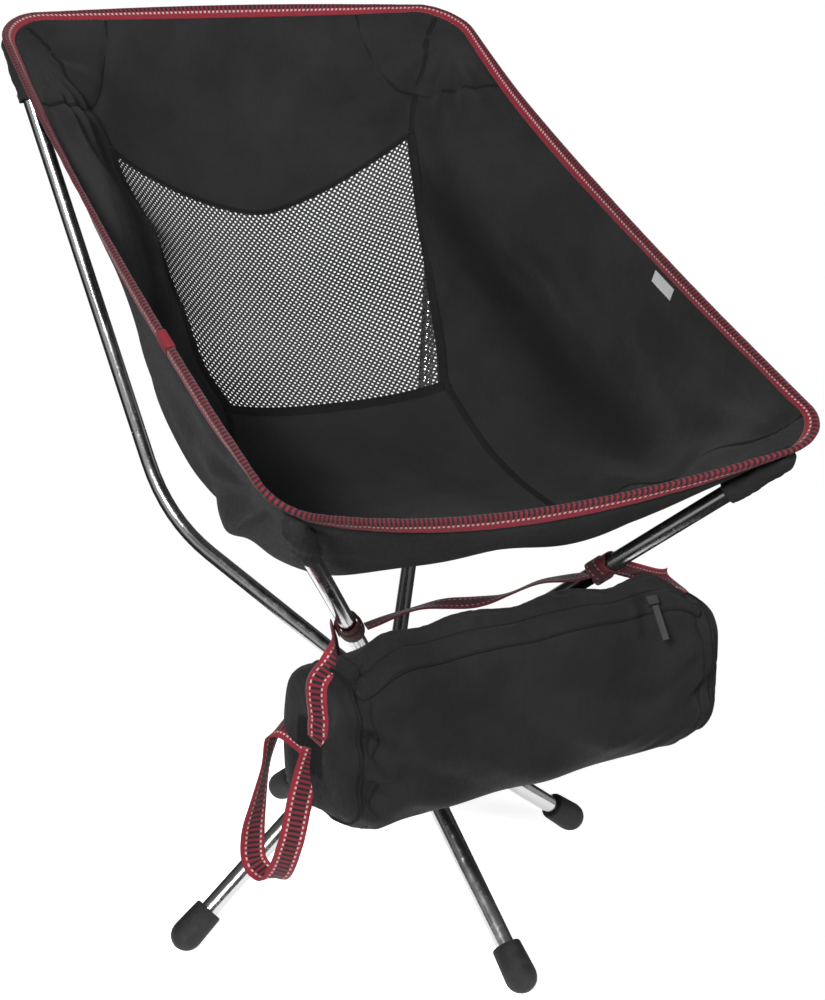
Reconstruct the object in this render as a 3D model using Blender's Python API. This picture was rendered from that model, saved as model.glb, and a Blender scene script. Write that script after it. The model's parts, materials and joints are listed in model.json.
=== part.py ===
"""Ultralight backpacking chair.

A round swivel hub stands on four plug-in legs with rubber feet. Above it a second
hub turns with the seat: two straight front poles and two bent back poles plug into
it, shock-corded, and their tips stretch a bucket sling by its corner pockets. The
carry bag hangs by webbing from the front poles, under the front edge of the seat.

Units are metres, +Z is up, the seat faces -Y, and the origin is on the floor at the
middle of the chair's width and length.
"""
import math

import bmesh
import bpy
from mathutils import Matrix, Vector

# ------------------------------------------------------------ driving dimensions
GAP = 0.0003              # clearance left where two pieces touch
SWIVEL_Y = -0.0373         # the swivel axis, from the middle of the chair's length

# base
LEG_HUB_Z = 0.1714        # height at which the leg axes meet the swivel axis
LEG_SPREAD = 0.1988       # foot centre from the swivel axis
LEG_TURN = 7.6            # degrees that the legs are turned from the seat's front
LEG_R = 0.0080
LEG_WALL = 0.0012
FOOT_R = 0.01325
FOOT_LENGTH = 0.0408
FOOT_RIM_R = 0.0123
SOLE_DEPTH = 0.0010       # how much of the dome is worn to a flat where it meets the floor
SOCKET_WALL = 0.0026
SOCKET_START = 0.020      # first end of a pole inside its socket, along the pole
SOCKET_END = 0.050
HUB_R = 0.0240
BOLT_R = 0.0040

# pole frame
POLE_HUB_Z = 0.1802
POLE_R = 0.00675
POLE_WALL = 0.0010
FRONT_TIP = Vector((0.1922, -0.2729, 0.4460))
BACK_BEND = Vector((0.1271, 0.2123, 0.2943))
BACK_TIP = Vector((0.2119, 0.3485, 0.7092))
BEND_R = 0.055            # distance from the bend's corner to the ends of its arc
FRONT_JOINT = 0.58        # joints between pole sections, as shares of a straight run
BACK_JOINTS = (0.19, 0.55)
FERRULE_LENGTH = 0.044
CORD_R = 0.0014
CAP_R = 0.0072

# seat sling
SHEET = 0.0020
RIM_FRONT = Vector((0.2156, -0.3070, 0.4700))
RIM_BACK = Vector((0.2280, 0.3505, 0.7255))
RIM_SAG = 0.0133
BINDING_WIDTH = 0.0120
BINDING_THICK = 0.0036
FABRIC_INSET = BINDING_WIDTH + 0.0013    # the sheet's edge, just clear of the binding's fold
CENTRE_LINE = ((-0.245, 0.424), (-0.205, 0.384), (-0.130, 0.358), (-0.040, 0.347),
               (0.045, 0.363), (0.114, 0.408), (0.210, 0.474), (0.293, 0.5485),
               (0.345, 0.640), (0.366, 0.7302))
HOLLOW = ((0.0, 0.0), (0.08, 0.48), (0.18, 0.92), (0.28, 1.0), (0.40, 1.0), (0.52, 0.82),
          (0.62, 0.45), (0.72, 0.18), (0.82, 0.06), (1.0, 0.0))
SQUARE = ((0.0, 0.80), (0.1, 0.68), (0.3, 0.66), (0.5, 0.75), (0.7, 0.90), (1.0, 1.0))
CORNER_U, CORNER_V = 0.17, 0.06
CENTRE_LENGTH = 0.83      # length of the sheet's centre line
WINDOW_LOW, WINDOW_TOP, WINDOW_DIP = 0.49, 0.81, 0.05
WINDOW_HALF_LOW, WINDOW_HALF_TOP = 0.29, 0.58
POCKET_LENGTH = 0.052
POCKET_WALL = 0.0012

# carry bag and webbing
BAG_CENTRE = Vector((0.032, -0.166, 0.2425))
BAG_SIZE = Vector((0.336, 0.088, 0.114))
BAG_CORNER = 0.028
BAG_TURN = 6.3            # degrees
BAG_CROWN = 0.024         # how far the full bag's top bulges above its plain box
BAG_CROWN_FLAT = 0.115    # half the length over which the crown is level
BAG_CROWN_TOP, BAG_CROWN_BACK = -0.006, 0.020
WEB_WIDTH = 0.020
WEB_THICK = 0.0016
TIE_LEFT = 0.49           # where the webbing is tied, as a share of the front pole
TIE_RIGHT = 0.58
ZIP_WIDTH = 0.009
ZIP_THICK = 0.0012
ZIP_SLOPE = 55            # degrees round the bag's upper front edge


# ------------------------------------------------------------ materials
def material(name, colour, roughness, metallic=0.0):
    mat = bpy.data.materials.new(name)
    mat.use_nodes = True
    shader = mat.node_tree.nodes["Principled BSDF"]
    shader.inputs["Base Color"].default_value = (*colour, 1.0)
    shader.inputs["Roughness"].default_value = roughness
    shader.inputs["Metallic"].default_value = metallic
    return mat


def make_materials():
    return {
        "polished_aluminium": material("polished_aluminium", (0.80, 0.80, 0.81), 0.18, 1.0),
        "bright_steel": material("bright_steel", (0.62, 0.62, 0.64), 0.25, 1.0),
        "black_nylon": material("black_nylon", (0.030, 0.030, 0.032), 0.45),
        "white_acetal": material("white_acetal", (0.80, 0.79, 0.76), 0.40),
        "dark_rubber": material("dark_rubber", (0.045, 0.045, 0.048), 0.70),
        "black_fabric": material("black_fabric", (0.028, 0.028, 0.030), 0.85),
        "grey_mesh": material("grey_mesh", (0.42, 0.42, 0.43), 0.80),
        "red_webbing": material("red_webbing", (0.34, 0.035, 0.05), 0.75),
        "elastic_cord": material("elastic_cord", (0.05, 0.05, 0.05), 0.80),
        "grey_label": material("grey_label", (0.55, 0.55, 0.56), 0.60),
    }


# ------------------------------------------------------------ mesh helpers
def loft(rings, closed=False):
    """Skin rings of points; the ends are capped unless the last ring joins the first."""
    bm = bmesh.new()
    rows = [[bm.verts.new(p) for p in ring] for ring in rings]
    count = len(rows[0])
    pairs = list(zip(rows, rows[1:]))
    if closed:
        pairs.append((rows[-1], rows[0]))
    for a, b in pairs:
        for i in range(count):
            j = (i + 1) % count
            bm.faces.new((a[i], a[j], b[j], b[i]))
    if not closed:
        bm.faces.new(rows[0])
        bm.faces.new(reversed(rows[-1]))
    bmesh.ops.recalc_face_normals(bm, faces=bm.faces)
    return bm


def across(direction):
    """Two unit vectors square to a direction, the first one level."""
    side = direction.cross(Vector((0, 0, 1)))
    if side.length < 1e-6:
        side = Vector((1, 0, 0))
    side.normalize()
    return side, side.cross(direction).normalized()


def ring(centre, direction, radius, sides):
    side, up = across(direction)
    turns = [2 * math.pi * i / sides for i in range(sides)]
    return [centre + radius * (side * math.cos(a) + up * math.sin(a)) for a in turns]


def directions(path):
    """The path's direction at each of its points."""
    last = len(path) - 1
    spans = [path[min(i + 1, last)] - path[max(i - 1, 0)] for i in range(last + 1)]
    return [span.normalized() for span in spans]


def tube(path, outer, wall, sides=16):
    runs = list(zip(path, directions(path)))
    outside = [ring(p, d, outer, sides) for p, d in runs]
    inside = [ring(p, d, outer - wall, sides) for p, d in reversed(runs)]
    return loft(outside + inside, closed=True)


def rod(path, radius, sides=8):
    return loft([ring(p, d, radius, sides) for p, d in zip(path, directions(path))])


def turned(profile, base, axis, sides=20, closed=False):
    """Turn a profile of (radius, distance along the axis) pairs about an axis."""
    return loft([ring(base + axis * s, axis, r, sides) for r, s in profile], closed)


def ribbon(path, sides, width, thick):
    """Flat webbing along a path; sides gives the direction of its width at each point."""
    rings = []
    for point, along, side in zip(path, directions(path), sides):
        half = side.normalized() * width / 2
        face = along.cross(side).normalized() * thick / 2
        rings.append([point - half - face, point + half - face, point + half + face,
                      point - half + face])
    return loft(rings)


def grid_sheet(points, keep=lambda row, column: True):
    """A sheet of quads through rows of points, with the faces that keep() says yes to."""
    bm = bmesh.new()
    verts = [[bm.verts.new(p) for p in row] for row in points]
    for r in range(len(points) - 1):
        for c in range(len(points[0]) - 1):
            if keep(r, c):
                bm.faces.new((verts[r][c], verts[r][c + 1], verts[r + 1][c + 1], verts[r + 1][c]))
    bmesh.ops.delete(bm, geom=[v for v in bm.verts if not v.link_faces], context="VERTS")
    return bm


# ------------------------------------------------------------ curves
def smooth(t):
    """0 below 0, 1 above 1, and a soft step between."""
    t = min(1.0, max(0.0, t))
    return t * t * (3 - 2 * t)


def blend_table(table, t):
    """Smooth interpolation of (position, value) pairs."""
    for (t0, a), (t1, b) in zip(table, table[1:]):
        if t <= t1:
            return a + (b - a) * smooth((t - t0) / (t1 - t0))
    return table[-1][1]


def spline(points, t):
    """Curve through points, by Hermite spans on chord length, for t from 0 to 1."""
    pts = [Vector(p) for p in points]
    knots = [0.0]
    for a, b in zip(pts, pts[1:]):
        knots.append(knots[-1] + (b - a).length)
    last = len(pts) - 1
    slopes = []
    for i in range(last + 1):
        lo, hi = max(i - 1, 0), min(i + 1, last)
        slopes.append((pts[hi] - pts[lo]) / (knots[hi] - knots[lo]))
    s = t * knots[-1]
    i = next((k for k in range(last) if s <= knots[k + 1] + 1e-12), last - 1)
    span = knots[i + 1] - knots[i]
    x = (s - knots[i]) / span
    return (pts[i] * (2 * x**3 - 3 * x**2 + 1) + slopes[i] * span * (x**3 - 2 * x**2 + x)
            + pts[i + 1] * (3 * x**2 - 2 * x**3) + slopes[i + 1] * span * (x**3 - x**2))


def straight(a, b, count=2):
    return [a.lerp(b, i / (count - 1)) for i in range(count)]


# ------------------------------------------------------------ the sling's surface
def rim_side(v):
    """The right rim, from the front corner at v = 0 to the back corner at v = 1."""
    point = RIM_FRONT.lerp(RIM_BACK, v)
    point.z -= 4 * v * (1 - v) * RIM_SAG
    return point


def section(a, v):
    """Point of the right half section at height v; a runs from the centre to the rim."""
    rim, middle = rim_side(v), spline(CENTRE_LINE, v)
    hollow, power = blend_table(HOLLOW, v), blend_table(SQUARE, v)
    angle = a * math.pi / 2
    wide = (1 - hollow) * a + hollow * math.sin(angle) ** power
    high = (1 - hollow) * a * a + hollow * (1 - math.cos(angle) ** power)
    return Vector((rim.x * wide, middle[0] + (rim.y - middle[0]) * high,
                   middle[1] + (rim.z - middle[1]) * high))


def section_table(v, steps=24):
    """The half section as points with their distances along it from the centre."""
    points = [section(i / steps, v) for i in range(steps + 1)]
    lengths = [0.0]
    for a, b in zip(points, points[1:]):
        lengths.append(lengths[-1] + (b - a).length)
    return points, lengths


def rounded(u, v):
    """Pull the square (u, v) sheet's four corners in to round ones."""
    a = max(0.0, (abs(u) - (1 - CORNER_U)) / CORNER_U)
    edge = min(v, 1 - v)
    b = max(0.0, (CORNER_V - edge) / CORNER_V)
    if a > 0 and b > 0:
        u = math.copysign(1 - CORNER_U + CORNER_U * a * math.sqrt(1 - b * b / 2), u)
        edge = CORNER_V - CORNER_V * b * math.sqrt(1 - a * a / 2)
        v = edge if v < 0.5 else 1 - edge
    return u, v


def sling_point(u, v, inset=0.0):
    """Point of the seat sling: u from -1 left to 1 right, v from 0 front to 1 top.

    With an inset, in metres, the whole sheet is drawn in from the rim by about that much.
    """
    u, v = rounded(u, v)
    v = v + (1 - 2 * v) * inset / CENTRE_LENGTH
    points, lengths = section_table(v)
    reach = min(abs(u), 1.0) * (lengths[-1] - inset)
    i = next(k for k in range(len(lengths) - 1) if reach <= lengths[k + 1] + 1e-9)
    step = (reach - lengths[i]) / (lengths[i + 1] - lengths[i])
    point = points[i].lerp(points[i + 1], step)
    point.x = math.copysign(point.x, u) if u else 0.0
    return point


def sling_normal(u, v):
    """The sling's upper side."""
    e = 0.01
    du = sling_point(min(u + e, 1), v) - sling_point(max(u - e, -1), v)
    dv = sling_point(u, min(v + e, 1)) - sling_point(u, max(v - e, 0))
    return du.cross(dv).normalized()


# ------------------------------------------------------------ the scene
class Chair:
    """Holds the materials and the empties that the sub-parts hang on."""

    def __init__(self):
        self.materials = make_materials()
        self.origin = Vector((0, SWIVEL_Y, 0))
        self.pivots = {}

    def pivot(self, name, place, parent=None):
        """An empty on a joint's axis; place is measured from the swivel axis."""
        empty = bpy.data.objects.new(name, None)
        bpy.context.scene.collection.objects.link(empty)
        if parent:
            empty.parent = self.pivots[parent][0]
            empty.location = place - self.pivots[parent][1]
        else:
            empty.location = place + self.origin
        self.pivots[name] = (empty, place)

    def add(self, name, bm, finish, pivot, smooth=40):
        empty, place = self.pivots[pivot]
        bmesh.ops.translate(bm, verts=bm.verts, vec=-place)
        mesh = bpy.data.meshes.new(name)
        bm.to_mesh(mesh)
        bm.free()
        mesh.materials.append(self.materials[finish])
        mesh.shade_smooth()
        mesh.set_sharp_from_angle(angle=math.radians(smooth))
        obj = bpy.data.objects.new(name, mesh)
        bpy.context.scene.collection.objects.link(obj)
        obj.parent = empty
        return obj

    def cut(self, obj, bm, pivot, operation):
        """Join a tool shape to an object, or cut it away, with a Boolean modifier."""
        name = f"{obj.name}_tool_{len(obj.modifiers)}"
        tool = self.add(name, bm, "black_nylon", pivot)
        tool.hide_render = True
        tool.display_type = "WIRE"
        boolean = obj.modifiers.new(operation.lower(), "BOOLEAN")
        boolean.operation = operation
        boolean.solver = "EXACT"
        boolean.object = tool


# ------------------------------------------------------------ base and hubs
UP = Vector((0, 0, 1))
LEG_HUB = Vector((0, 0, LEG_HUB_Z))
POLE_HUB = Vector((0, 0, POLE_HUB_Z))
HUB_SPLIT = LEG_HUB_Z + 0.0042     # underside of the slip washer between the hubs
SLIP_THICK = 0.0012
UPPER_TOP = POLE_HUB_Z + 0.0230
LOWER_BOTTOM = LEG_HUB_Z - 0.0330


def foot_centre(index):
    angle = math.radians(LEG_TURN + 90 * index)
    return Vector((LEG_SPREAD * math.cos(angle), LEG_SPREAD * math.sin(angle), FOOT_R - SOLE_DEPTH))


def hub(chair, name, pivot, centre, low, high, aims, pole_radius):
    """A round hub with a socket for each pole and a bore for the swivel bolt."""
    body = turned([(HUB_R - 0.002, low), (HUB_R, low + 0.002), (HUB_R, high - 0.002),
                   (HUB_R - 0.002, high)], Vector(), UP, 32)
    obj = chair.add(name, body, "black_nylon", pivot)
    for aim in aims:
        sleeve = turned([(pole_radius + SOCKET_WALL, 0.016), (pole_radius + SOCKET_WALL, SOCKET_END)],
                        centre, aim, 20)
        chair.cut(obj, sleeve, pivot, "UNION")
    for aim in aims:
        socket = turned([(pole_radius + GAP, SOCKET_START - GAP), (pole_radius + GAP, 0.080)],
                        centre, aim, 16)
        chair.cut(obj, socket, pivot, "DIFFERENCE")
    bore = turned([(BOLT_R + GAP, low - 0.01), (BOLT_R + GAP, high + 0.01)], Vector(), UP, 24)
    chair.cut(obj, bore, pivot, "DIFFERENCE")


def swivel(chair):
    """The bolt that holds the two hubs together, with its washers, nut and slip ring."""
    head = UPPER_TOP + GAP
    foot = LOWER_BOTTOM - 0.0012
    bolt = turned([(0.0005, foot - 0.009), (BOLT_R - 0.0005, foot - 0.009), (BOLT_R, foot - 0.0085),
                   (BOLT_R, head), (0.0075, head), (0.0075, head + 0.003), (0.0060, head + 0.0048),
                   (0.0005, head + 0.0050)], Vector(), UP, 24)
    chair.add("swivel_bolt", bolt, "bright_steel", "base")
    hole = BOLT_R + GAP
    for name, finish, radius, low in (("lower_washer", "bright_steel", 0.0100, foot - GAP),
                                      ("slip_washer", "white_acetal", 0.0125, HUB_SPLIT)):
        high = low + SLIP_THICK
        disc = turned([(hole, low), (radius, low), (radius, high), (hole, high)],
                      Vector(), UP, 24, True)
        chair.add(name, disc, finish, "base")
    top = foot - 2 * GAP
    flats = hole / math.cos(math.pi / 6)
    nut = turned([(flats, top - 0.0065), (0.0070, top - 0.0065), (0.0075, top - 0.0058),
                  (0.0075, top), (flats, top)], Vector(), UP, 6, True)
    chair.add("lock_nut", nut, "bright_steel", "base", 20)


def foot_shape(start, axis, length):
    """A domed rubber foot around the end of a leg."""
    dome = length + FOOT_R
    rim = dome - FOOT_LENGTH
    inner = LEG_R + GAP
    profile = [(inner, length + 0.001 + GAP), (inner, rim), (FOOT_RIM_R - 0.0008, rim),
               (FOOT_RIM_R, rim + 0.0012), (FOOT_R, length - 0.002)]
    for step in range(0, 6):
        angle = math.radians(6 + 15 * step)
        profile.append((FOOT_R * math.cos(angle), length + FOOT_R * math.sin(angle)))
    profile.insert(0, (0.0006, length + 0.001 + GAP))
    profile.append((0.0006, dome))
    bm = turned(profile, start, axis, 20)
    whole = list(bm.verts) + list(bm.edges) + list(bm.faces)
    bmesh.ops.bisect_plane(bm, geom=whole, plane_co=Vector(), plane_no=-UP, clear_outer=True)
    sole = [edge for edge in bm.edges if edge.is_boundary]
    bmesh.ops.holes_fill(bm, edges=sole)
    bmesh.ops.recalc_face_normals(bm, faces=bm.faces)
    return bm


def legs(chair):
    for index in range(4):
        number = index + 1
        centre = foot_centre(index)
        aim = (centre - LEG_HUB).normalized()
        length = (centre - LEG_HUB).length
        pivot = f"leg_{number}"
        chair.pivot(pivot, LEG_HUB + aim * SOCKET_START)
        path = straight(LEG_HUB + aim * SOCKET_START, LEG_HUB + aim * (length + 0.001))
        chair.add(f"leg_tube_{number}", tube(path, LEG_R, LEG_WALL), "polished_aluminium", pivot)
        chair.add(f"leg_foot_{number}", foot_shape(LEG_HUB, aim, length), "dark_rubber", pivot)
        cord = straight(LEG_HUB + aim * (SOCKET_START + 0.002), LEG_HUB + aim * (length - 0.004))
        chair.add(f"leg_cord_{number}", rod(cord, CORD_R), "elastic_cord", pivot)


# ------------------------------------------------------------ pole frame
def mirrored(point, side):
    return Vector((point.x * side, point.y, point.z))


def bent_path(side):
    """The back pole's centre line: hub, rounded bend, tip."""
    corner, tip = mirrored(BACK_BEND, side), mirrored(BACK_TIP, side)
    start = corner + (POLE_HUB - corner).normalized() * BEND_R
    end = corner + (tip - corner).normalized() * BEND_R
    path = []
    for i in range(9):
        t = i / 8
        path.append(start * (1 - t) ** 2 + corner * 2 * t * (1 - t) + end * t ** 2)
    return path


def socket_point(target):
    return POLE_HUB + (target - POLE_HUB).normalized() * SOCKET_START


def ferrule(chair, name, centre, aim):
    """The short inner sleeve that lines up two pole sections."""
    half = aim * FERRULE_LENGTH / 2
    sleeve = tube([centre - half, centre + half], POLE_R - POLE_WALL - GAP, POLE_WALL, 12)
    chair.add(name, sleeve, "bright_steel", "seat")


def front_pole(chair, word, side):
    tip = mirrored(FRONT_TIP, side)
    aim = (tip - POLE_HUB).normalized()
    joint = POLE_HUB.lerp(tip, FRONT_JOINT)
    start = socket_point(tip)
    lower = tube([start, joint - aim * GAP / 2], POLE_R, POLE_WALL)
    upper = tube([joint + aim * GAP / 2, tip], POLE_R, POLE_WALL)
    chair.add(f"front_pole_lower_{word}", lower, "polished_aluminium", "seat")
    chair.add(f"front_pole_upper_{word}", upper, "polished_aluminium", "seat")
    ferrule(chair, f"front_ferrule_{word}", joint, aim)
    cord = [start + aim * 0.003, tip - aim * 0.006]
    chair.add(f"front_cord_{word}", rod(cord, CORD_R), "elastic_cord", "seat")
    tip_cap(chair, f"front_tip_cap_{word}", tip, aim)


def back_pole(chair, word, side):
    corner, tip = mirrored(BACK_BEND, side), mirrored(BACK_TIP, side)
    aim = (tip - corner).normalized()
    low, high = (corner.lerp(tip, share) for share in BACK_JOINTS)
    bend = bent_path(side)
    start = socket_point(corner)
    pieces = (("lower", [start] + bend + [low - aim * GAP / 2]),
              ("middle", [low + aim * GAP / 2, high - aim * GAP / 2]),
              ("upper", [high + aim * GAP / 2, tip]))
    for section_name, path in pieces:
        chair.add(f"back_pole_{section_name}_{word}", tube(path, POLE_R, POLE_WALL),
                  "polished_aluminium", "seat")
    ferrule(chair, f"back_ferrule_low_{word}", low, aim)
    ferrule(chair, f"back_ferrule_high_{word}", high, aim)
    first = (corner - POLE_HUB).normalized()
    cord = [start + first * 0.003] + bend + [tip - aim * 0.006]
    chair.add(f"back_cord_{word}", rod(cord, CORD_R), "elastic_cord", "seat")
    tip_cap(chair, f"back_tip_cap_{word}", tip, aim)


def tip_cap(chair, name, tip, aim):
    """A plastic plug with a ball head, which sits in the sling's corner pocket."""
    stem = POLE_R - POLE_WALL - GAP
    profile = [(0.0005, -0.005), (stem, -0.005), (stem, GAP), (CAP_R - 0.001, GAP), (CAP_R, 0.0015),
               (CAP_R, 0.003), (CAP_R * 0.7, 0.0058), (0.0005, 0.0066)]
    chair.add(name, turned(profile, tip, aim, 16), "black_nylon", "seat")


# ------------------------------------------------------------ sling
def window_half(v):
    """Half width of the back window, as a share of the half section."""
    s = min(max((v - WINDOW_LOW) / (WINDOW_TOP - WINDOW_LOW), 0.0), 1.0)
    return WINDOW_HALF_LOW + (WINDOW_HALF_TOP - WINDOW_HALF_LOW) * s


def dipped(share, v):
    """Lower the rows around the window's top edge into its shallow V at the centre."""
    if v <= WINDOW_LOW:
        return v
    if v < WINDOW_TOP:
        weight = (v - WINDOW_LOW) / (WINDOW_TOP - WINDOW_LOW)
    else:
        weight = (1 - v) / (1 - WINDOW_TOP)
    return v - WINDOW_DIP * weight * max(0.0, 1 - share / WINDOW_HALF_TOP)


ROWS_LOW, ROWS_MIDDLE, ROWS_HIGH = 12, 8, 6
COLUMNS_IN = 5            # sheet columns from the centre to the window's edge
COLUMNS_OUT = 6           # and from there to the rim


def window_rows():
    """Sheet rows below, beside and above the back window."""
    low = [WINDOW_LOW * i / ROWS_LOW for i in range(ROWS_LOW)]
    middle = [WINDOW_LOW + (WINDOW_TOP - WINDOW_LOW) * i / ROWS_MIDDLE for i in range(ROWS_MIDDLE)]
    high = [WINDOW_TOP + (1 - WINDOW_TOP) * i / ROWS_HIGH for i in range(ROWS_HIGH + 1)]
    return low + middle + high


def column_share(column, v):
    """Share of the half section at a signed sheet column."""
    half = window_half(v)
    count = abs(column)
    if count <= COLUMNS_IN:
        share = half * count / COLUMNS_IN
    else:
        share = half + (1 - half) * (count - COLUMNS_IN) / COLUMNS_OUT
    return math.copysign(share, column) if column else 0.0


def sheet_points(rows, columns, shrink=0.0):
    points = []
    for v in rows:
        shares = [column_share(column, v) * (1 - shrink) for column in columns]
        points.append([sling_point(u, dipped(abs(u), v), FABRIC_INSET) for u in shares])
    return points


def thicken(obj, thickness):
    solidify = obj.modifiers.new("thickness", "SOLIDIFY")
    solidify.thickness = thickness
    solidify.offset = 0.0
    solidify.use_even_offset = True


def fabric_sheet(chair):
    """The sling's fabric, one sheet with the back window left open."""
    rows = window_rows()
    columns = range(-COLUMNS_IN - COLUMNS_OUT, COLUMNS_IN + COLUMNS_OUT + 1)

    def outside_window(r, c):
        beside = ROWS_LOW <= r < ROWS_LOW + ROWS_MIDDLE
        return not (beside and COLUMNS_OUT <= c < COLUMNS_OUT + 2 * COLUMNS_IN)

    bm = grid_sheet(sheet_points(rows, columns), outside_window)
    thicken(chair.add("sling_fabric", bm, "black_fabric", "seat"), SHEET)


def mesh_panel(chair):
    """The see-through panel that fills the back window."""
    margin = 0.004
    low, high = WINDOW_LOW + margin, WINDOW_TOP - margin
    rows = [low + (high - low) * i / ROWS_MIDDLE for i in range(ROWS_MIDDLE + 1)]
    columns = range(-COLUMNS_IN, COLUMNS_IN + 1)
    bm = grid_sheet(sheet_points(rows, columns, shrink=0.012))
    thicken(chair.add("mesh_panel", bm, "grey_mesh", "seat"), SHEET * 0.6)


def rim_loop():
    """(u, v) places around the sheet's edge."""
    loop = []
    steps = 24
    loop += [(1.0, i / steps) for i in range(steps)]
    loop += [(1.0 - 2 * i / steps, 1.0) for i in range(steps)]
    loop += [(-1.0, 1.0 - i / steps) for i in range(steps)]
    loop += [(-1.0 + 2 * i / steps, 0.0) for i in range(steps)]
    return loop


def binding(chair):
    """Patterned webbing folded over the sling's edge, as one closed band."""
    rings = []
    for u, v in rim_loop():
        outer, inner = sling_point(u, v), sling_point(u, v, BINDING_WIDTH)
        lift = sling_normal(u * 0.97, 0.02 + v * 0.96) * BINDING_THICK / 2
        rings.append([outer - lift, outer + lift, inner + lift, inner - lift])
    chair.add("edge_binding", loft(rings, closed=True), "red_webbing", "seat")


def pocket(chair, name, tip, aim):
    """A fabric cup, sewn under a corner, that the pole's tip pushes into."""
    inner = CAP_R + GAP * 2
    outer = inner + POCKET_WALL
    end = 0.0066 + GAP * 2
    profile = [(0.0008, end), (inner * 0.75, end - 0.001), (inner, 0.0032), (inner, end - POCKET_LENGTH),
               (outer, end - POCKET_LENGTH), (outer, 0.0036), (outer * 0.75, end + 0.0006),
               (0.0008, end + POCKET_WALL)]
    chair.add(name, turned(profile, tip, aim, 16), "black_fabric", "seat")


# ------------------------------------------------------------ bag and webbing
BAG_SPIN = Matrix.Rotation(math.radians(BAG_TURN), 3, "Z")


def bag_place(x, y, z):
    """A point given from the bag's centre, in the bag's own directions."""
    return BAG_CENTRE + BAG_SPIN @ Vector((x, y, z))


def bag_crown(x, y, z):
    """How far the full bag's top bulges up at a place on its plain rounded box."""
    along = smooth((abs(x) - BAG_CROWN_FLAT) / (BAG_SIZE.x / 2 - BAG_CROWN_FLAT))
    behind = smooth((BAG_CROWN_BACK - y) / (BAG_CROWN_BACK - BAG_CROWN_TOP))
    ahead = 1 - 0.3 * min(1.0, max(0.0, (BAG_CROWN_TOP - y) / (BAG_SIZE.y / 2 + BAG_CROWN_TOP)))
    return BAG_CROWN * (1 - along) * behind * ahead * max(0.0, z / (BAG_SIZE.z / 2))


def bag_outline(x, inset):
    """Rounded-rectangle cross section of the bag, with its crowned top."""
    half_y, half_z = BAG_SIZE.y / 2 - inset, BAG_SIZE.z / 2 - inset
    corner = max(BAG_CORNER - inset, 0.004)
    points = []
    for quarter, (sy, sz) in enumerate(((1, 1), (-1, 1), (-1, -1), (1, -1))):
        for step in range(6):
            angle = math.radians(90 * quarter + 18 * step)
            y = sy * (half_y - corner) + corner * math.cos(angle)
            z = sz * (half_z - corner) + corner * math.sin(angle)
            points.append(bag_place(x, y, z + bag_crown(x, y, z)))
    return points


def bag(chair):
    half = BAG_SIZE.x / 2
    stations = [(-half, 0.012), (-half + 0.004, 0.004), (-half + 0.012, 0.0)]
    stations += [(-x, 0.0) for x in (0.147, 0.139, 0.131, 0.123, BAG_CROWN_FLAT)]
    stations += [(x, 0.0) for x in (0.0, BAG_CROWN_FLAT, 0.123, 0.131, 0.139, 0.147)]
    stations += [(half - 0.012, 0.0), (half - 0.004, 0.004), (half, 0.012)]
    chair.add("bag_body", loft([bag_outline(x, inset) for x, inset in stations]),
              "black_fabric", "bag")


def zip_line():
    """The zip's centre line on the bag's upper front edge, and the way out of the cloth there."""
    def cloth(degrees):
        angle = math.radians(degrees)
        y = -(BAG_SIZE.y / 2 - BAG_CORNER) - BAG_CORNER * math.cos(angle)
        z = BAG_SIZE.z / 2 - BAG_CORNER + BAG_CORNER * math.sin(angle)
        return Vector((0, y, z + bag_crown(0, y, z)))

    climb = cloth(ZIP_SLOPE + 9) - cloth(ZIP_SLOPE - 9)
    normal = Vector((0, -climb.z, climb.y)).normalized()
    return cloth(ZIP_SLOPE) + normal * (GAP + ZIP_THICK / 2), normal


def zip_fastener(chair):
    place, normal = zip_line()
    side = Vector((0, normal.z, -normal.y))
    reach = BAG_CROWN_FLAT
    ends = [bag_place(x, place.y, place.z) for x in (-reach, reach)]
    turn = BAG_SPIN @ side
    chair.add("zip_tape", ribbon(ends, [turn, turn], ZIP_WIDTH, ZIP_THICK), "black_nylon", "bag")
    lift = ZIP_THICK / 2 + GAP
    rest = bag_place(reach - 0.012, place.y, place.z) + BAG_SPIN @ normal * (lift + 0.0015)
    chair.pivot("zip", rest, "bag")
    along = BAG_SPIN @ Vector((1, 0, 0))
    out = BAG_SPIN @ normal
    slider = ribbon([rest - along * 0.005, rest + along * 0.005], [turn, turn], 0.007, 0.003)
    chair.add("zip_slider", slider, "bright_steel", "zip", 20)
    hang = BAG_SPIN @ Vector((0, -0.55, -0.835))
    top = rest + out * 0.0009 - turn * (0.0035 + 0.0012)
    pull = ribbon([top, top + hang * 0.028], [along, along], 0.006, 0.0012)
    chair.add("zip_pull", pull, "black_nylon", "zip")


def tie_points():
    left = POLE_HUB.lerp(mirrored(FRONT_TIP, -1), TIE_LEFT)
    right = POLE_HUB.lerp(FRONT_TIP, TIE_RIGHT)
    return left, right


def pole_tie(chair, name, place, side):
    """A turn of webbing around a front pole."""
    aim = (mirrored(FRONT_TIP, side) - POLE_HUB).normalized()
    half = aim * WEB_WIDTH / 2
    band = tube([place - half, place + half], POLE_R + GAP + WEB_THICK, WEB_THICK)
    chair.add(name, band, "red_webbing", "seat")


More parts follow.
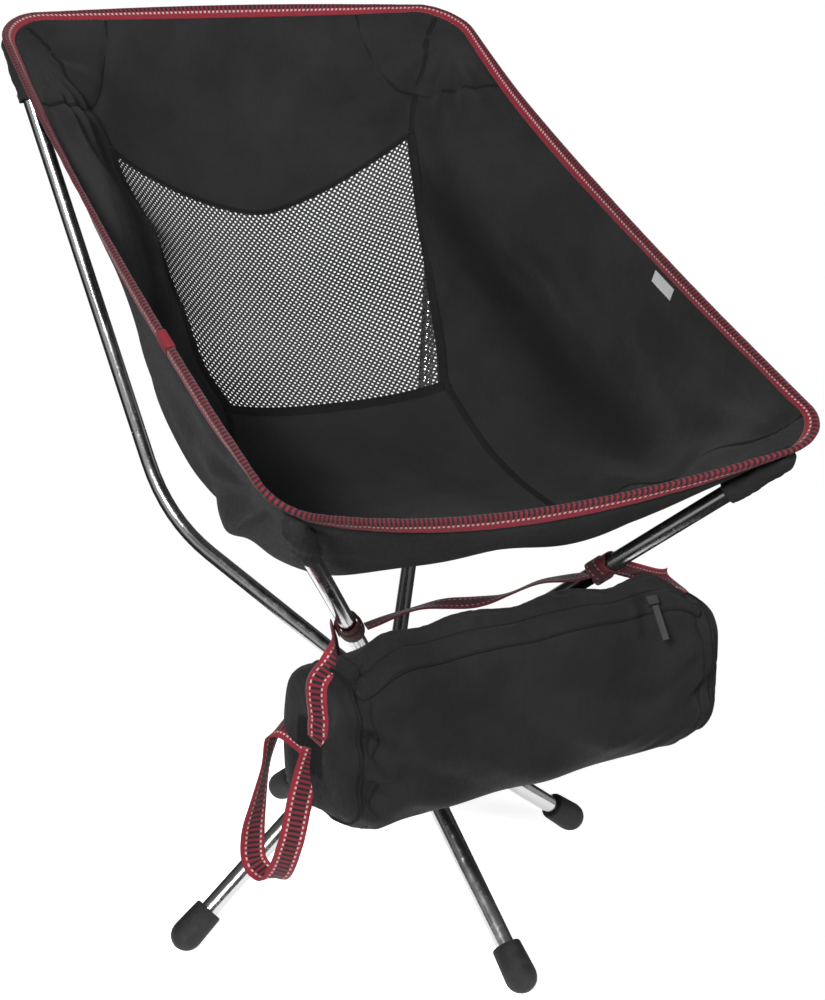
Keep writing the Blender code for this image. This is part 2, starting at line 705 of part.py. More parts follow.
def webbing(chair):
    left, right = tie_points()
    pole_tie(chair, "pole_tie_left", left, -1)
    pole_tie(chair, "pole_tie_right", right, 1)
    clear = POLE_R + GAP + WEB_THICK + 0.0050
    top = BAG_SIZE.z / 2 + WEB_THICK
    forward = Vector((0, -1, 0))

    # carry strap, which arches over the bag's top from tie to tie
    start, end = left + Vector((clear, -0.004, 0.0)), right + Vector((-clear, -0.004, -0.002))
    route = [start, bag_place(-0.078, 0.030, 0.0775), bag_place(-0.052, 0.025, 0.0790),
             bag_place(-0.027, 0.018, 0.0780), bag_place(-0.003, 0.012, 0.0810),
             bag_place(0.024, 0.006, 0.0885), bag_place(0.046, 0.001, 0.0890), end]
    path = [spline(route, i / 16) for i in range(17)]
    chair.add("carry_strap", ribbon(path, [forward] * 17, WEB_WIDTH * 0.6, WEB_THICK),
              "red_webbing", "bag")

    # end straps, from each tie over the bag's end and halfway down it
    for word, tie, side in (("left", left, -1), ("right", right, 1)):
        reach = BAG_SIZE.x / 2 + WEB_THICK / 2 + GAP
        first = tie + Vector((side * clear, -0.004, 0.0))
        over = bag_place(side * (reach - 0.012), 0.004, top + 0.004)
        route = [first, over, bag_place(side * (reach + 0.0020), 0.000, top - 0.010),
                 bag_place(side * (reach + 0.0004), -0.002, 0.032), bag_place(side * reach, -0.003, 0.004)]
        path = [spline(route, i / 12) for i in range(13)]
        across_end = BAG_SPIN @ forward
        chair.add(f"end_strap_{word}", ribbon(path, [across_end] * 13, WEB_WIDTH, WEB_THICK),
                  "red_webbing", "bag")


def grab_loop(chair):
    """A hanging loop of webbing on the bag's left end."""
    reach = BAG_SIZE.x / 2 + WEB_THICK * 2 + 0.0060
    head = bag_place(-reach, 0.004, -0.002)
    chair.pivot("loop", head, "bag")
    route = [bag_place(-reach, 0.000, -0.002), bag_place(-0.180, 0.0055, -0.020),
             bag_place(-0.186, 0.0074, -0.044), bag_place(-0.194, 0.0092, -0.080),
             bag_place(-0.200, 0.0240, -0.1120), bag_place(-0.206, 0.0440, -0.1080),
             bag_place(-0.206, 0.0470, -0.0850), bag_place(-0.201, 0.0460, -0.0560),
             bag_place(-0.194, 0.0470, -0.0300), bag_place(-0.185, 0.0481, -0.0023)]
    path = [spline(route, i / 20) for i in range(21)]
    sides = []
    for i in range(21):
        turn = math.radians(-31 + 86 * i / 20)
        sides.append(BAG_SPIN @ Vector((math.cos(turn), math.sin(turn), 0)))
    chair.add("grab_loop", ribbon(path, sides, WEB_WIDTH * 0.8, WEB_THICK), "red_webbing", "loop")


def side_tag(chair):
    """A small blank label beside the right rim."""
    u, v = 0.945, 0.362
    lift = sling_normal(u, v) * (SHEET / 2 + 0.0015)
    ends = [sling_point(u, v - 0.022) + lift, sling_point(u, v + 0.022) + lift]
    side = sling_point(u, v) - sling_point(u - 0.02, v)
    chair.add("side_tag", ribbon(ends, [side, side], 0.011, 0.0006), "grey_label", "seat")


def build():
    for obj in list(bpy.data.objects):
        bpy.data.objects.remove(obj, do_unlink=True)
    chair = Chair()
    chair.pivot("base", Vector())
    chair.pivot("seat", Vector())
    left, right = tie_points()
    chair.pivot("bag", (left + right) / 2, "seat")

    leg_aims = [(foot_centre(i) - LEG_HUB).normalized() for i in range(4)]
    hub(chair, "leg_hub", "base", LEG_HUB, LOWER_BOTTOM, HUB_SPLIT - GAP, leg_aims, LEG_R)
    pole_aims = [(mirrored(target, side) - POLE_HUB).normalized()
                 for target in (FRONT_TIP, BACK_BEND) for side in (-1, 1)]
    hub(chair, "seat_hub", "seat", POLE_HUB, HUB_SPLIT + SLIP_THICK + GAP, UPPER_TOP, pole_aims, POLE_R)
    swivel(chair)
    legs(chair)

    for word, side in (("left", -1), ("right", 1)):
        front_pole(chair, word, side)
        back_pole(chair, word, side)
        front_tip, back_tip = mirrored(FRONT_TIP, side), mirrored(BACK_TIP, side)
        pocket(chair, f"front_pocket_{word}", front_tip, (front_tip - POLE_HUB).normalized())
        pocket(chair, f"back_pocket_{word}", back_tip,
               (back_tip - mirrored(BACK_BEND, side)).normalized())

    fabric_sheet(chair)
    mesh_panel(chair)
    binding(chair)
    side_tag(chair)
    bag(chair)
    zip_fastener(chair)
    webbing(chair)
    grab_loop(chair)


build()
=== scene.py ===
"""Ultralight backpacking chair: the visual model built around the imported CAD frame."""

import json
import math

import bmesh
import bpy
import numpy as np
from mathutils import Matrix, Vector
from mathutils.bvhtree import BVHTree


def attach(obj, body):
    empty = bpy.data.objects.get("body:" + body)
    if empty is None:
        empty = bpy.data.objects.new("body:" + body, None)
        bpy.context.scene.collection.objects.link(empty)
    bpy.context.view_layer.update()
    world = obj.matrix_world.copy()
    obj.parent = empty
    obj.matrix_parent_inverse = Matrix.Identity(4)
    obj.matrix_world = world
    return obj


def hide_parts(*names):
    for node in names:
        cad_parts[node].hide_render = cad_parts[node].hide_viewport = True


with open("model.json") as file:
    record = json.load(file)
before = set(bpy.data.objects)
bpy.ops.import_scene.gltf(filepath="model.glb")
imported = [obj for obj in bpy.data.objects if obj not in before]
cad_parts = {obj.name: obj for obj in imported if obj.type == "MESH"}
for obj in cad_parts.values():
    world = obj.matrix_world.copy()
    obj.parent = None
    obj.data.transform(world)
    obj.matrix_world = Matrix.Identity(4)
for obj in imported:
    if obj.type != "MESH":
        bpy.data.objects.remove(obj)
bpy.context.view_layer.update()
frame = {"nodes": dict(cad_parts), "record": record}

# ------------------------------------------------------------ dimensions, as in the CAD (metres)
SWIVEL_Y = -0.0373
ORIGIN = Vector((0.0, SWIVEL_Y, 0.0))
POLE_HUB = Vector((0, 0, 0.1802))
POLE_R = 0.00675
FRONT_TIP = Vector((0.1922, -0.2729, 0.4460))
BACK_BEND = Vector((0.1271, 0.2123, 0.2943))
BACK_TIP = Vector((0.2119, 0.3485, 0.7092))
RIM_FRONT = Vector((0.2156, -0.3070, 0.4700))
RIM_BACK = Vector((0.2280, 0.3505, 0.7255))
RIM_SAG = 0.0133
CENTRE_LINE = ((-0.245, 0.424), (-0.205, 0.384), (-0.130, 0.358), (-0.040, 0.347),
               (0.045, 0.363), (0.114, 0.408), (0.210, 0.474), (0.293, 0.5485),
               (0.345, 0.640), (0.366, 0.7302))
HOLLOW = ((0.0, 0.0), (0.08, 0.48), (0.18, 0.92), (0.28, 1.0), (0.40, 1.0), (0.52, 0.82),
          (0.62, 0.45), (0.72, 0.18), (0.82, 0.06), (1.0, 0.0))
SQUARE = ((0.0, 0.80), (0.1, 0.68), (0.3, 0.66), (0.5, 0.75), (0.7, 0.90), (1.0, 1.0))
CORNER_U, CORNER_V = 0.17, 0.06
CENTRE_LENGTH = 0.83
WINDOW_LOW, WINDOW_TOP, WINDOW_DIP = 0.49, 0.81, 0.05
WINDOW_HALF_LOW, WINDOW_HALF_TOP = 0.29, 0.58
BAG_CENTRE = Vector((0.032, -0.166, 0.2425))
BAG_SIZE = Vector((0.336, 0.088, 0.114))
BAG_CORNER = 0.028
BAG_CROWN, BAG_CROWN_FLAT = 0.024, 0.115
BAG_CROWN_TOP, BAG_CROWN_BACK = -0.006, 0.020
BAG_SPIN = Matrix.Rotation(math.radians(6.3), 3, "Z")
WEB_WIDTH, WEB_THICK = 0.020, 0.0016
TIE_LEFT, TIE_RIGHT = 0.49, 0.58
CLOTH = 0.0012            # thickness the cloth pieces are drawn with
BACK_LIFT = 0.007         # how far the stretched back edge stands above the poles' tips
SHEET_INSET = 0.0025      # how far inside the binding's fold the cloth ends
V_SCALE = 1.7             # how much more a step up the sheet counts than one across it
BAG_HALF = BAG_SIZE.x / 2
ZIP_UPPER, ZIP_LOWER = 67, 43       # the zip flap's edges round the bag's corner, in degrees
ZIP_HALF = BAG_HALF - 0.012
SIDES = ((-1, "left"), (1, "right"))     # as seen by someone who faces the chair's front


# ------------------------------------------------------------ camera
def make_camera():
    """Stands in front of the chair, towards its -X side, a little above its top."""
    yaw, pitch, roll = -0.43570, 0.31271, 0.0053
    back = Vector((math.sin(yaw) * math.cos(pitch), -math.cos(yaw) * math.cos(pitch), math.sin(pitch)))
    right = Vector((math.cos(yaw), math.sin(yaw), 0))
    up = back.cross(right)
    right, up = (right * math.cos(roll) + up * math.sin(roll),
                 up * math.cos(roll) - right * math.sin(roll))
    data = bpy.data.cameras.new("camera")
    data.sensor_fit = "VERTICAL"
    data.sensor_height = 36.0
    data.lens = 67.13
    data.clip_start, data.clip_end = 0.05, 60
    camera = bpy.data.objects.new("camera", data)
    place = Matrix((right, up, back)).transposed().to_4x4()
    place.translation = Vector((-0.6041, -1.3781, 0.8340))
    camera.matrix_world = place
    bpy.context.scene.collection.objects.link(camera)
    bpy.context.scene.camera = camera


make_camera()


# ------------------------------------------------------------ material nodes
class Nodes:
    """Short calls that make the nodes of a tree and join them."""

    def __init__(self, tree):
        self.tree = tree

    def feed(self, value, socket):
        if hasattr(value, "is_output"):
            self.tree.links.new(value, socket)
        elif hasattr(value, "__len__"):
            socket.default_value = (*value, 1.0) if len(socket.default_value) == 4 else value
        else:
            socket.default_value = value

    def node(self, kind, inputs=(), output=0, **settings):
        made = self.tree.nodes.new(kind)
        for key, value in settings.items():
            setattr(made, key, value)
        for key, value in (inputs.items() if isinstance(inputs, dict) else enumerate(inputs)):
            self.feed(value, made.inputs[key])
        return made.outputs[output]

    def split(self, vector):
        """A vector's X, Y and Z."""
        made = self.tree.nodes.new("ShaderNodeSeparateXYZ")
        self.feed(vector, made.inputs[0])
        return made.outputs[0:3]

    def math(self, operation, *values):
        return self.node("ShaderNodeMath", values, operation=operation)

    def times(self, a, b):
        return self.math("MULTIPLY", a, b)

    def sum(self, *values):
        total = values[0]
        for value in values[1:]:
            total = self.math("ADD", total, value)
        return total

    def ramp(self, value, low, high, out_low=0.0, out_high=1.0, **settings):
        return self.node("ShaderNodeMapRange", (value, low, high, out_low, out_high), **settings)

    def soft_ramp(self, *values):
        return self.ramp(*values, interpolation_type="SMOOTHSTEP")


class Shader(Nodes):
    """A Principled material with short calls for the nodes that feed it."""

    def __init__(self, name, **values):
        self.material = bpy.data.materials.new(name)
        self.material.use_nodes = True
        super().__init__(self.material.node_tree)
        self.main = self.tree.nodes["Principled BSDF"]
        for key, value in values.items():
            self.set(key, value)

    def set(self, key, value):
        self.feed(value, self.main.inputs[key.replace("_", " ")])

    def mix(self, factor, a, b):
        return self.node("ShaderNodeMix", {0: factor, 6: a, 7: b}, output=2, data_type="RGBA")

    def uv(self):
        """UV in metres: along and across the cloth."""
        return self.split(self.node("ShaderNodeTexCoord", output=2))[:2]

    def place(self):
        return self.node("ShaderNodeTexCoord", output=3)

    def noise(self, scale, detail=3.0, roughness=0.55, stretch=None):
        vector = self.place()
        if stretch:
            vector = self.node("ShaderNodeMapping", {0: vector, 3: stretch})
        return self.node("ShaderNodeTexNoise", {"Vector": vector, "Scale": scale, "Detail": detail,
                                                "Roughness": roughness})

    def band(self, value, low, high, soft):
        """1 between low and high, with soft edges."""
        return self.times(self.soft_ramp(value, low - soft, low + soft),
                          self.soft_ramp(value, high - soft, high + soft, 1.0, 0.0))

    def bump(self, height, distance, strength=1.0, normal=None):
        inputs = {"Strength": strength, "Distance": distance, "Height": height}
        if normal:
            inputs["Normal"] = normal
        return self.node("ShaderNodeBump", inputs)


def toned(colour, share):
    """A colour made darker or paler."""
    return tuple(c * share for c in colour)


def weave_height(shader, pitch):
    """Plain weave from UV in metres: threads that pass over and under each other."""
    x, y = (shader.math("SINE", shader.times(place, math.pi / pitch)) for place in shader.uv())
    swap = shader.math("GREATER_THAN", shader.times(x, y), 0.0)
    return shader.sum(shader.times(shader.math("ABSOLUTE", x), swap),
                      shader.times(shader.math("ABSOLUTE", y), shader.math("SUBTRACT", 1.0, swap)))


def cloth_material(name, colour, pitch=0.0007, sheen=0.05, wrinkle=0.0022, painted_valley_shade=False):
    """Woven polyester: weave, faint slubs, paler worn patches, soft sheen and small slack wrinkles;
    optionally painted shade along the sling's folds.
    """
    shader = Shader(name, Sheen_Weight=sheen, Sheen_Roughness=0.45, Sheen_Tint=(0.75, 0.75, 0.78),
                    Specular_IOR_Level=0.14)
    weave = weave_height(shader, pitch)
    slub = shader.noise(900, 2.0, 0.6, stretch=(1.0, 0.15, 0.15))
    cloud = shader.noise(11, 4.0, 0.62)
    shade = shader.mix(shader.ramp(cloud, 0.35, 0.68), toned(colour, 0.8), toned(colour, 1.6))
    # painted shade: the cloth is darker in the weave's hollows between threads
    shade = shader.mix(shader.times(shader.ramp(weave, 0.9, 0.2), 0.6), shade, toned(colour, 0.45))
    # painted shade: the sheet's attribute darkens the cloth along the fold between back and side panels,
    # where shade falls
    if painted_valley_shade:
        painted_shade_mask = shader.node("ShaderNodeAttribute", output=2, attribute_name="painted_valley_shade")
        shade = shader.mix(painted_shade_mask, shade, toned(colour, 0.25))
    shader.set("Base_Color", shade)
    shader.set("Roughness", shader.ramp(slub, 0.3, 0.7, 0.60, 0.80))
    slack = shader.sum(shader.noise(24, 3.0, 0.5),
                       shader.times(shader.noise(70, 2.0, 0.5, stretch=(1.0, 0.45, 0.45)), 0.35))
    soft = shader.bump(slack, wrinkle, 0.8)
    shader.set("Normal", shader.bump(shader.sum(weave, shader.times(slub, 0.6)), 0.00018, 0.8, soft))
    return shader.material


def webbing_material(name, width, pitch=0.0042, dim=1.0):
    """Patterned webbing: red edges, two rows of pale dashes and a black ladder between them."""
    shader = Shader(name, Roughness=0.68, Sheen_Weight=0.10, Sheen_Roughness=0.4, Specular_IOR_Level=0.18)
    u, v = shader.uv()
    across = shader.math("DIVIDE", v, width)
    side = shader.math("ABSOLUTE", shader.math("SUBTRACT", across, 0.5))
    rung = shader.math("FRACT", shader.math("DIVIDE", u, pitch))
    red, deep, pale = (toned(c, dim) for c in ((0.205, 0.016, 0.027), (0.135, 0.014, 0.022),
                                               (0.42, 0.27, 0.27)))
    black = (0.012, 0.010, 0.012)
    ladder = shader.band(side, -1.0, 0.235, 0.015)
    rungs = shader.band(rung, 0.10, 0.58, 0.06)
    dash = shader.times(shader.band(side, 0.250, 0.325, 0.012), shader.band(rung, 0.12, 0.64, 0.05))
    fibre = shader.noise(1500, 2.0, 0.6, stretch=(0.3, 0.3, 1.0))
    colour = shader.mix(shader.ramp(fibre, 0.3, 0.7), red, toned(red, 0.72))
    colour = shader.mix(ladder, colour, shader.mix(rungs, deep, black))
    shader.set("Base_Color", shader.mix(dash, colour, pale))
    rib = shader.math("ABSOLUTE", shader.math("SINE", shader.times(u, math.pi / (pitch / 4))))
    cross = shader.math("ABSOLUTE", shader.math("SINE", shader.times(v, math.pi / 0.0009)))
    height = shader.sum(shader.times(rib, 0.5), shader.times(cross, 0.35), shader.times(dash, 1.2),
                        shader.times(shader.times(ladder, rungs), -0.7))
    shader.set("Normal", shader.bump(height, 0.0003, 0.9))
    return shader.material


def metal_material(name, colour, roughness, stretch):
    """Polished tube: faint drawing lines along its length and small rub marks."""
    shader = Shader(name, Metallic=1.0, Base_Color=colour, Anisotropic=0.35)
    lines = shader.noise(60, 4.0, 0.6, stretch=stretch)
    rubs = shader.noise(220, 5.0, 0.7)
    wear = shader.ramp(rubs, 0.52, 0.8, 0.0, 0.16)
    shader.set("Roughness", shader.sum(shader.ramp(lines, 0.3, 0.7, roughness * 0.8, roughness * 1.3), wear))
    shader.set("Normal", shader.bump(shader.sum(lines, shader.times(rubs, 0.3)), 0.00012, 0.25))
    return shader.material


def plastic_material(name, colour, roughness=0.42):
    """Moulded nylon: fine spark-eroded grain with slightly paler rubbed edges."""
    shader = Shader(name)
    grains = shader.noise(1400, 2.0, 0.6)
    cloud = shader.noise(60, 3.0, 0.6)
    edge = shader.node("ShaderNodeNewGeometry", output=7)
    worn = shader.ramp(edge, 0.52, 0.60, 0.0, 0.5)
    tone = shader.mix(shader.ramp(cloud, 0.35, 0.7), colour, toned(colour, 1.35))
    shader.set("Base_Color", shader.mix(worn, tone, tuple(min(1.0, c * 2.4) for c in colour)))
    shader.set("Roughness", shader.ramp(cloud, 0.3, 0.7, roughness - 0.06, roughness + 0.10))
    shader.set("Normal", shader.bump(grains, 0.00012, 0.5))
    return shader.material


def rubber_material():
    """Moulded rubber of the feet: coarse grain under patches of pale dust."""
    shader = Shader("rubber_feet", Specular_IOR_Level=0.22)
    grains = shader.noise(900, 3.0, 0.65)
    dust = shader.noise(120, 4.0, 0.65)
    dusty = shader.mix(shader.ramp(dust, 0.45, 0.75), (0.010, 0.010, 0.011), (0.024, 0.023, 0.022))
    shader.set("Base_Color", dusty)
    shader.set("Roughness", shader.ramp(dust, 0.3, 0.7, 0.62, 0.86))
    shader.set("Normal", shader.bump(grains, 0.00035, 0.8))
    return shader.material


def cord_material():
    """Braided sheath of the shock cords, seen only where a leg is pulled out."""
    shader = Shader("braided_cord", Roughness=0.8)
    braid = shader.node("ShaderNodeTexVoronoi", {"Vector": shader.place(), "Scale": 1600.0})
    shader.set("Base_Color", shader.mix(shader.ramp(braid, 0.1, 0.6), (0.10, 0.10, 0.10), (0.02, 0.02, 0.02)))
    shader.set("Normal", shader.bump(braid, 0.0003, 0.8))
    return shader.material


FABRIC = cloth_material("black_polyester", (0.0125, 0.0125, 0.0130), painted_valley_shade=True)
BAG_CLOTH = cloth_material("bag_polyester", (0.0092, 0.0092, 0.0096), pitch=0.0006, wrinkle=0.0060)
SEAM_TAPE = cloth_material("seam_tape", (0.0060, 0.0060, 0.0063), pitch=0.0011, sheen=0.03, wrinkle=0.0004)
MESH_YARN = cloth_material("mesh_yarn", (0.030, 0.030, 0.031), pitch=0.0009, wrinkle=0.0002)
WEB_FOLDED = 0.026        # full width of the webbing folded over the edge
TRIM = webbing_material("edge_webbing", WEB_FOLDED)
STRAP = webbing_material("strap_webbing", WEB_WIDTH)
STRAP_DARK = webbing_material("strap_webbing_narrow", 0.012, dim=0.24)
ALUMINIUM = metal_material("polished_tube", (0.45, 0.45, 0.455), 0.19, (1.0, 1.0, 0.04))
STEEL = metal_material("bright_steel_parts", (0.40, 0.40, 0.41), 0.26, (1.0, 1.0, 1.0))
NYLON = plastic_material("moulded_nylon", (0.012, 0.012, 0.013))
ACETAL = plastic_material("white_acetal_ring", (0.72, 0.71, 0.68), 0.35)
BARTACK = cloth_material("bartack_thread", (0.20, 0.018, 0.026), pitch=0.0011, wrinkle=0.0004)
RUBBER = rubber_material()
CORD = cord_material()


# ------------------------------------------------------------ mesh helpers
def add_object(name, points, faces, uvs=None, material=None, smooth=True):
    """uvs gives, for each face, the UV of each of its corners."""
    mesh = bpy.data.meshes.new(name)
    mesh.from_pydata([tuple(p) for p in points], [], faces)
    if uvs is not None:
        layer = mesh.uv_layers.new(name="cloth")
        layer.data.foreach_set("uv", np.asarray(uvs, np.float32).ravel())
    if material:
        mesh.materials.append(material)
    if smooth:
        mesh.shade_smooth()
    obj = bpy.data.objects.new(name, mesh)
    bpy.context.scene.collection.objects.link(obj)
    return obj


def lengths_along(points):
    """Length of a line of points from its first point to each."""
    return np.concatenate([[0], np.cumsum(np.linalg.norm(np.diff(points, axis=0), axis=1))])


def net_uv(rows, columns):
    return np.stack(np.meshgrid(rows, columns, indexing="ij"), axis=-1)


def grid(name, points, material, wrap_rows=False, wrap_columns=False, caps="", keep=None, uv=None,
         painted_valley_shade=None):
    """Quads over an array of points [row, column]; UVs are lengths along the mean row and column.

    A uv with one row or column more than the points closes a wrapped net. caps is "both" or "end".
    """
    points = np.asarray(points, float)
    rows, columns = points.shape[:2]
    if uv is None:
        closed = np.concatenate([points, points[:, :1]], axis=1)
        along = np.linalg.norm(np.diff(points, axis=0), axis=2).mean(axis=1)
        over = np.linalg.norm(np.diff(closed, axis=1), axis=2).mean(axis=0)
        uv = net_uv(*(np.concatenate([[0], np.cumsum(steps)]) for steps in (along, over)))
    faces, uvs = [], []
    for r in range(rows if wrap_rows else rows - 1):
        for c in range(columns if wrap_columns else columns - 1):
            if keep is not None and not keep[r, c]:
                continue
            r2, c2 = (r + 1) % rows, (c + 1) % columns
            faces.append((r * columns + c, r * columns + c2, r2 * columns + c2, r2 * columns + c))
            r2, c2 = (r + 1) % uv.shape[0], (c + 1) % uv.shape[1]
            uvs += [uv[r, c], uv[r, c2], uv[r2, c2], uv[r2, c]]
    if caps == "both":
        faces.append(tuple(range(columns - 1, -1, -1)))
        uvs += [(0, 0)] * columns
    if caps:
        faces.append(tuple(range((rows - 1) * columns, rows * columns)))
        uvs += [(0, 0)] * columns
    obj = add_object(name, points.reshape(-1, 3), faces, uvs, material)
    if painted_valley_shade is not None:
        layer = obj.data.attributes.new("painted_valley_shade", "FLOAT", "POINT")
        layer.data.foreach_set("value", painted_valley_shade.astype(np.float32).ravel())
    if keep is not None:
        edit(obj, lambda bm: bmesh.ops.delete(bm, geom=[v for v in bm.verts if not v.link_faces],
                                              context="VERTS"))
    return obj


def edit(obj, change):
    bm = bmesh.new()
    bm.from_mesh(obj.data)
    change(bm)
    bm.to_mesh(obj.data)
    bm.free()


def face_out(obj):
    edit(obj, lambda bm: bmesh.ops.recalc_face_normals(bm, faces=bm.faces))


def tube(name, rings, material, uv=None):
    """A closed skin round the rings, capped at both ends."""
    obj = grid(name, rings, material, wrap_columns=True, caps="both", uv=uv)
    face_out(obj)
    return obj


def swept(middle, over, normal, profile):
    """The profile's (over, normal) places at each point of a line."""
    profile = np.asarray(profile)[None]
    return middle[:, None] + over[:, None] * profile[..., :1] + normal[:, None] * profile[..., 1:]


def circle(count, radius, tall=1.0):
    angles = np.linspace(0, 2 * math.pi, count, endpoint=False)
    return np.stack([np.cos(angles) * radius, np.sin(angles) * radius * tall], axis=1)


def smoothed(path, rounds):
    for _ in range(rounds):
        path[1:-1] = (path[:-2] + 2 * path[1:-1] + path[2:]) / 4
    return path


def move_points(obj, points):
    obj.data.vertices.foreach_set("co", points.astype(np.float32).ravel())
    obj.data.update()


def register(piece, body, node=None):
    """Hang a piece on the body it rides on, and hide the CAD node that it stands for, if any."""
    if node:
        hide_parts(node)
    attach(piece, body)


def apply_modifiers(obj):
    bpy.context.view_layer.update()
    graph = bpy.context.evaluated_depsgraph_get()
    mesh = bpy.data.meshes.new_from_object(obj.evaluated_get(graph), depsgraph=graph)
    obj.modifiers.clear()
    obj.data = mesh


def thicken(obj, thickness, offset=0.0):
    solid = obj.modifiers.new("thickness", "SOLIDIFY")
    solid.thickness = thickness
    solid.offset = offset
    apply_modifiers(obj)


def unit(v):
    return v / np.maximum(np.linalg.norm(v, axis=-1, keepdims=True), 1e-12)


def curve_through(points, count):
    """Points evenly along a smooth curve through the given ones."""
    pts = np.array([tuple(p) for p in points], float)
    knots = lengths_along(pts)
    slopes = np.empty_like(pts)
    for i in range(len(pts)):
        lo, hi = max(i - 1, 0), min(i + 1, len(pts) - 1)
        slopes[i] = (pts[hi] - pts[lo]) / (knots[hi] - knots[lo])
    t = np.linspace(0, knots[-1], count)
    i = np.clip(np.searchsorted(knots, t, "right") - 1, 0, len(pts) - 2)
    span = (knots[i + 1] - knots[i])[:, None]
    x = (t - knots[i])[:, None] / span
    return (pts[i] * (2 * x**3 - 3 * x**2 + 1) + slopes[i] * span * (x**3 - 2 * x**2 + x)
            + pts[i + 1] * (3 * x**2 - 2 * x**3) + slopes[i + 1] * span * (x**3 - x**2))


# ------------------------------------------------------------ the sling's surface
def smooth(t):
    t = np.clip(t, 0, 1)
    return t * t * (3 - 2 * t)


def blend_table(table, t):
    for (t0, a), (t1, b) in zip(table, table[1:]):
        if t <= t1:
            return a + (b - a) * smooth((t - t0) / (t1 - t0))
    return table[-1][1]


TABLE_V, TABLE_U = 360, 90


def make_table():
    """Half section of the sling at even heights v and even shares of its own length, with the lengths."""
    middle = curve_through([(0, y, z) for y, z in CENTRE_LINE], TABLE_V + 1)
    a = np.linspace(0, 1, 161)
    table = np.empty((TABLE_V + 1, TABLE_U + 1, 3))
    lengths = np.empty(TABLE_V + 1)
    for i in range(TABLE_V + 1):
        v = i / TABLE_V
        rim = RIM_FRONT.lerp(RIM_BACK, v)
        rim.z -= 4 * v * (1 - v) * RIM_SAG
        hollow, power = blend_table(HOLLOW, v), blend_table(SQUARE, v)
        wide = (1 - hollow) * a + hollow * np.sin(a * math.pi / 2) ** power
        high = (1 - hollow) * a * a + hollow * (1 - np.maximum(np.cos(a * math.pi / 2), 0) ** power)
        line = np.stack([rim.x * wide, middle[i, 1] + (rim.y - middle[i, 1]) * high,
                         middle[i, 2] + (rim.z - middle[i, 2]) * high], axis=1)
        steps = lengths_along(line)
        lengths[i] = steps[-1]
        shares = np.linspace(0, steps[-1], TABLE_U + 1)
        for k in range(3):
            table[i, :, k] = np.interp(shares, steps, line[:, k])
    return table, lengths


SLING, SLING_LENGTH = make_table()


def half_width(v):
    """Length of the sling's cloth from its centre line to its rim, at a height."""
    return np.interp(v, np.linspace(0, 1, TABLE_V + 1), SLING_LENGTH)


def rounded(u, v):
    """Pull the square (u, v) sheet's four corners in to round ones."""
    a = np.maximum(0.0, (np.abs(u) - (1 - CORNER_U)) / CORNER_U)
    edge = np.minimum(v, 1 - v)
    b = np.maximum(0.0, (CORNER_V - edge) / CORNER_V)
    both = (a > 0) & (b > 0)
    u2 = np.copysign(1 - CORNER_U + CORNER_U * a * np.sqrt(1 - b * b / 2), u)
    edge2 = CORNER_V - CORNER_V * b * np.sqrt(1 - a * a / 2)
    return np.where(both, u2, u), np.where(both, np.where(v < 0.5, edge2, 1 - edge2), v)


def sling(u, v, inset=0.0, lift=0.0):
    """World points of the sling: u from -1 left to 1 right, v from 0 front to 1 top."""
    u, v = np.broadcast_arrays(np.asarray(u, float), np.asarray(v, float))
    flat = sling_flat(u, v, inset)
    if np.any(lift):
        flat = flat + sling_normals(u, v) * np.asarray(lift)[..., None]
    return flat


def sling_flat(u, v, inset=0.0):
    u, v = rounded(u, v)
    v = v + (1 - 2 * v) * inset / CENTRE_LENGTH
    row = np.clip(v, 0, 1) * TABLE_V
    i = np.clip(row.astype(int), 0, TABLE_V - 1)
    f = row - i
    length = SLING_LENGTH[i] * (1 - f) + SLING_LENGTH[i + 1] * f
    column = np.minimum(np.abs(u), 1) * (1 - inset / length) * TABLE_U
    j = np.clip(column.astype(int), 0, TABLE_U - 1)
    g = column - j
    f, g = f[..., None], g[..., None]
    p = ((SLING[i, j] * (1 - g) + SLING[i, j + 1] * g) * (1 - f)
         + (SLING[i + 1, j] * (1 - g) + SLING[i + 1, j + 1] * g) * f)
    p[..., 0] = np.copysign(p[..., 0], u)
    p[..., 1] += SWIVEL_Y
    p[..., 2] += BACK_LIFT * smooth((v - 0.76) / 0.24)
    return p


def sling_normals(u, v):
    """The sling's upper side."""
    e = 0.012
    u = np.clip(u, -0.985, 0.985)
    v = np.clip(v, 0.015, 0.985)
    du = sling_flat(u + e, v) - sling_flat(u - e, v)
    dv = sling_flat(u, v + e) - sling_flat(u, v - e)
    return unit(np.cross(du, dv))


def window_half(v):
    s = np.clip((v - WINDOW_LOW) / (WINDOW_TOP - WINDOW_LOW), 0, 1)
    return WINDOW_HALF_LOW + (WINDOW_HALF_TOP - WINDOW_HALF_LOW) * s


def dipped(share, v):
    """Lower the rows around the window's top edge into its shallow V at the centre."""
    weight = np.where(v < WINDOW_TOP, (v - WINDOW_LOW) / (WINDOW_TOP - WINDOW_LOW),
                      (1 - v) / (1 - WINDOW_TOP))
    weight = np.where(v <= WINDOW_LOW, 0, weight)
    soft = np.sqrt((share / WINDOW_HALF_TOP) ** 2 + 0.012) - 0.012
    return v - WINDOW_DIP * weight * np.maximum(0.0, 1 - soft)


def bell(x, width):
    return np.exp(-(x / width) ** 2)


def pulls(s, rise, waves, phase, reach, spread):
    """Pulls that fan out from a pocket, on the cloth that rises towards or away from it."""
    rise = rise * V_SCALE
    near = np.hypot(rise, 0.90 - s)
    wave = np.sin(np.arctan2(rise, 0.90 - s) * waves + phase)
    return wave * bell(near - reach, spread) * (s > 0) * smooth(near * 5)


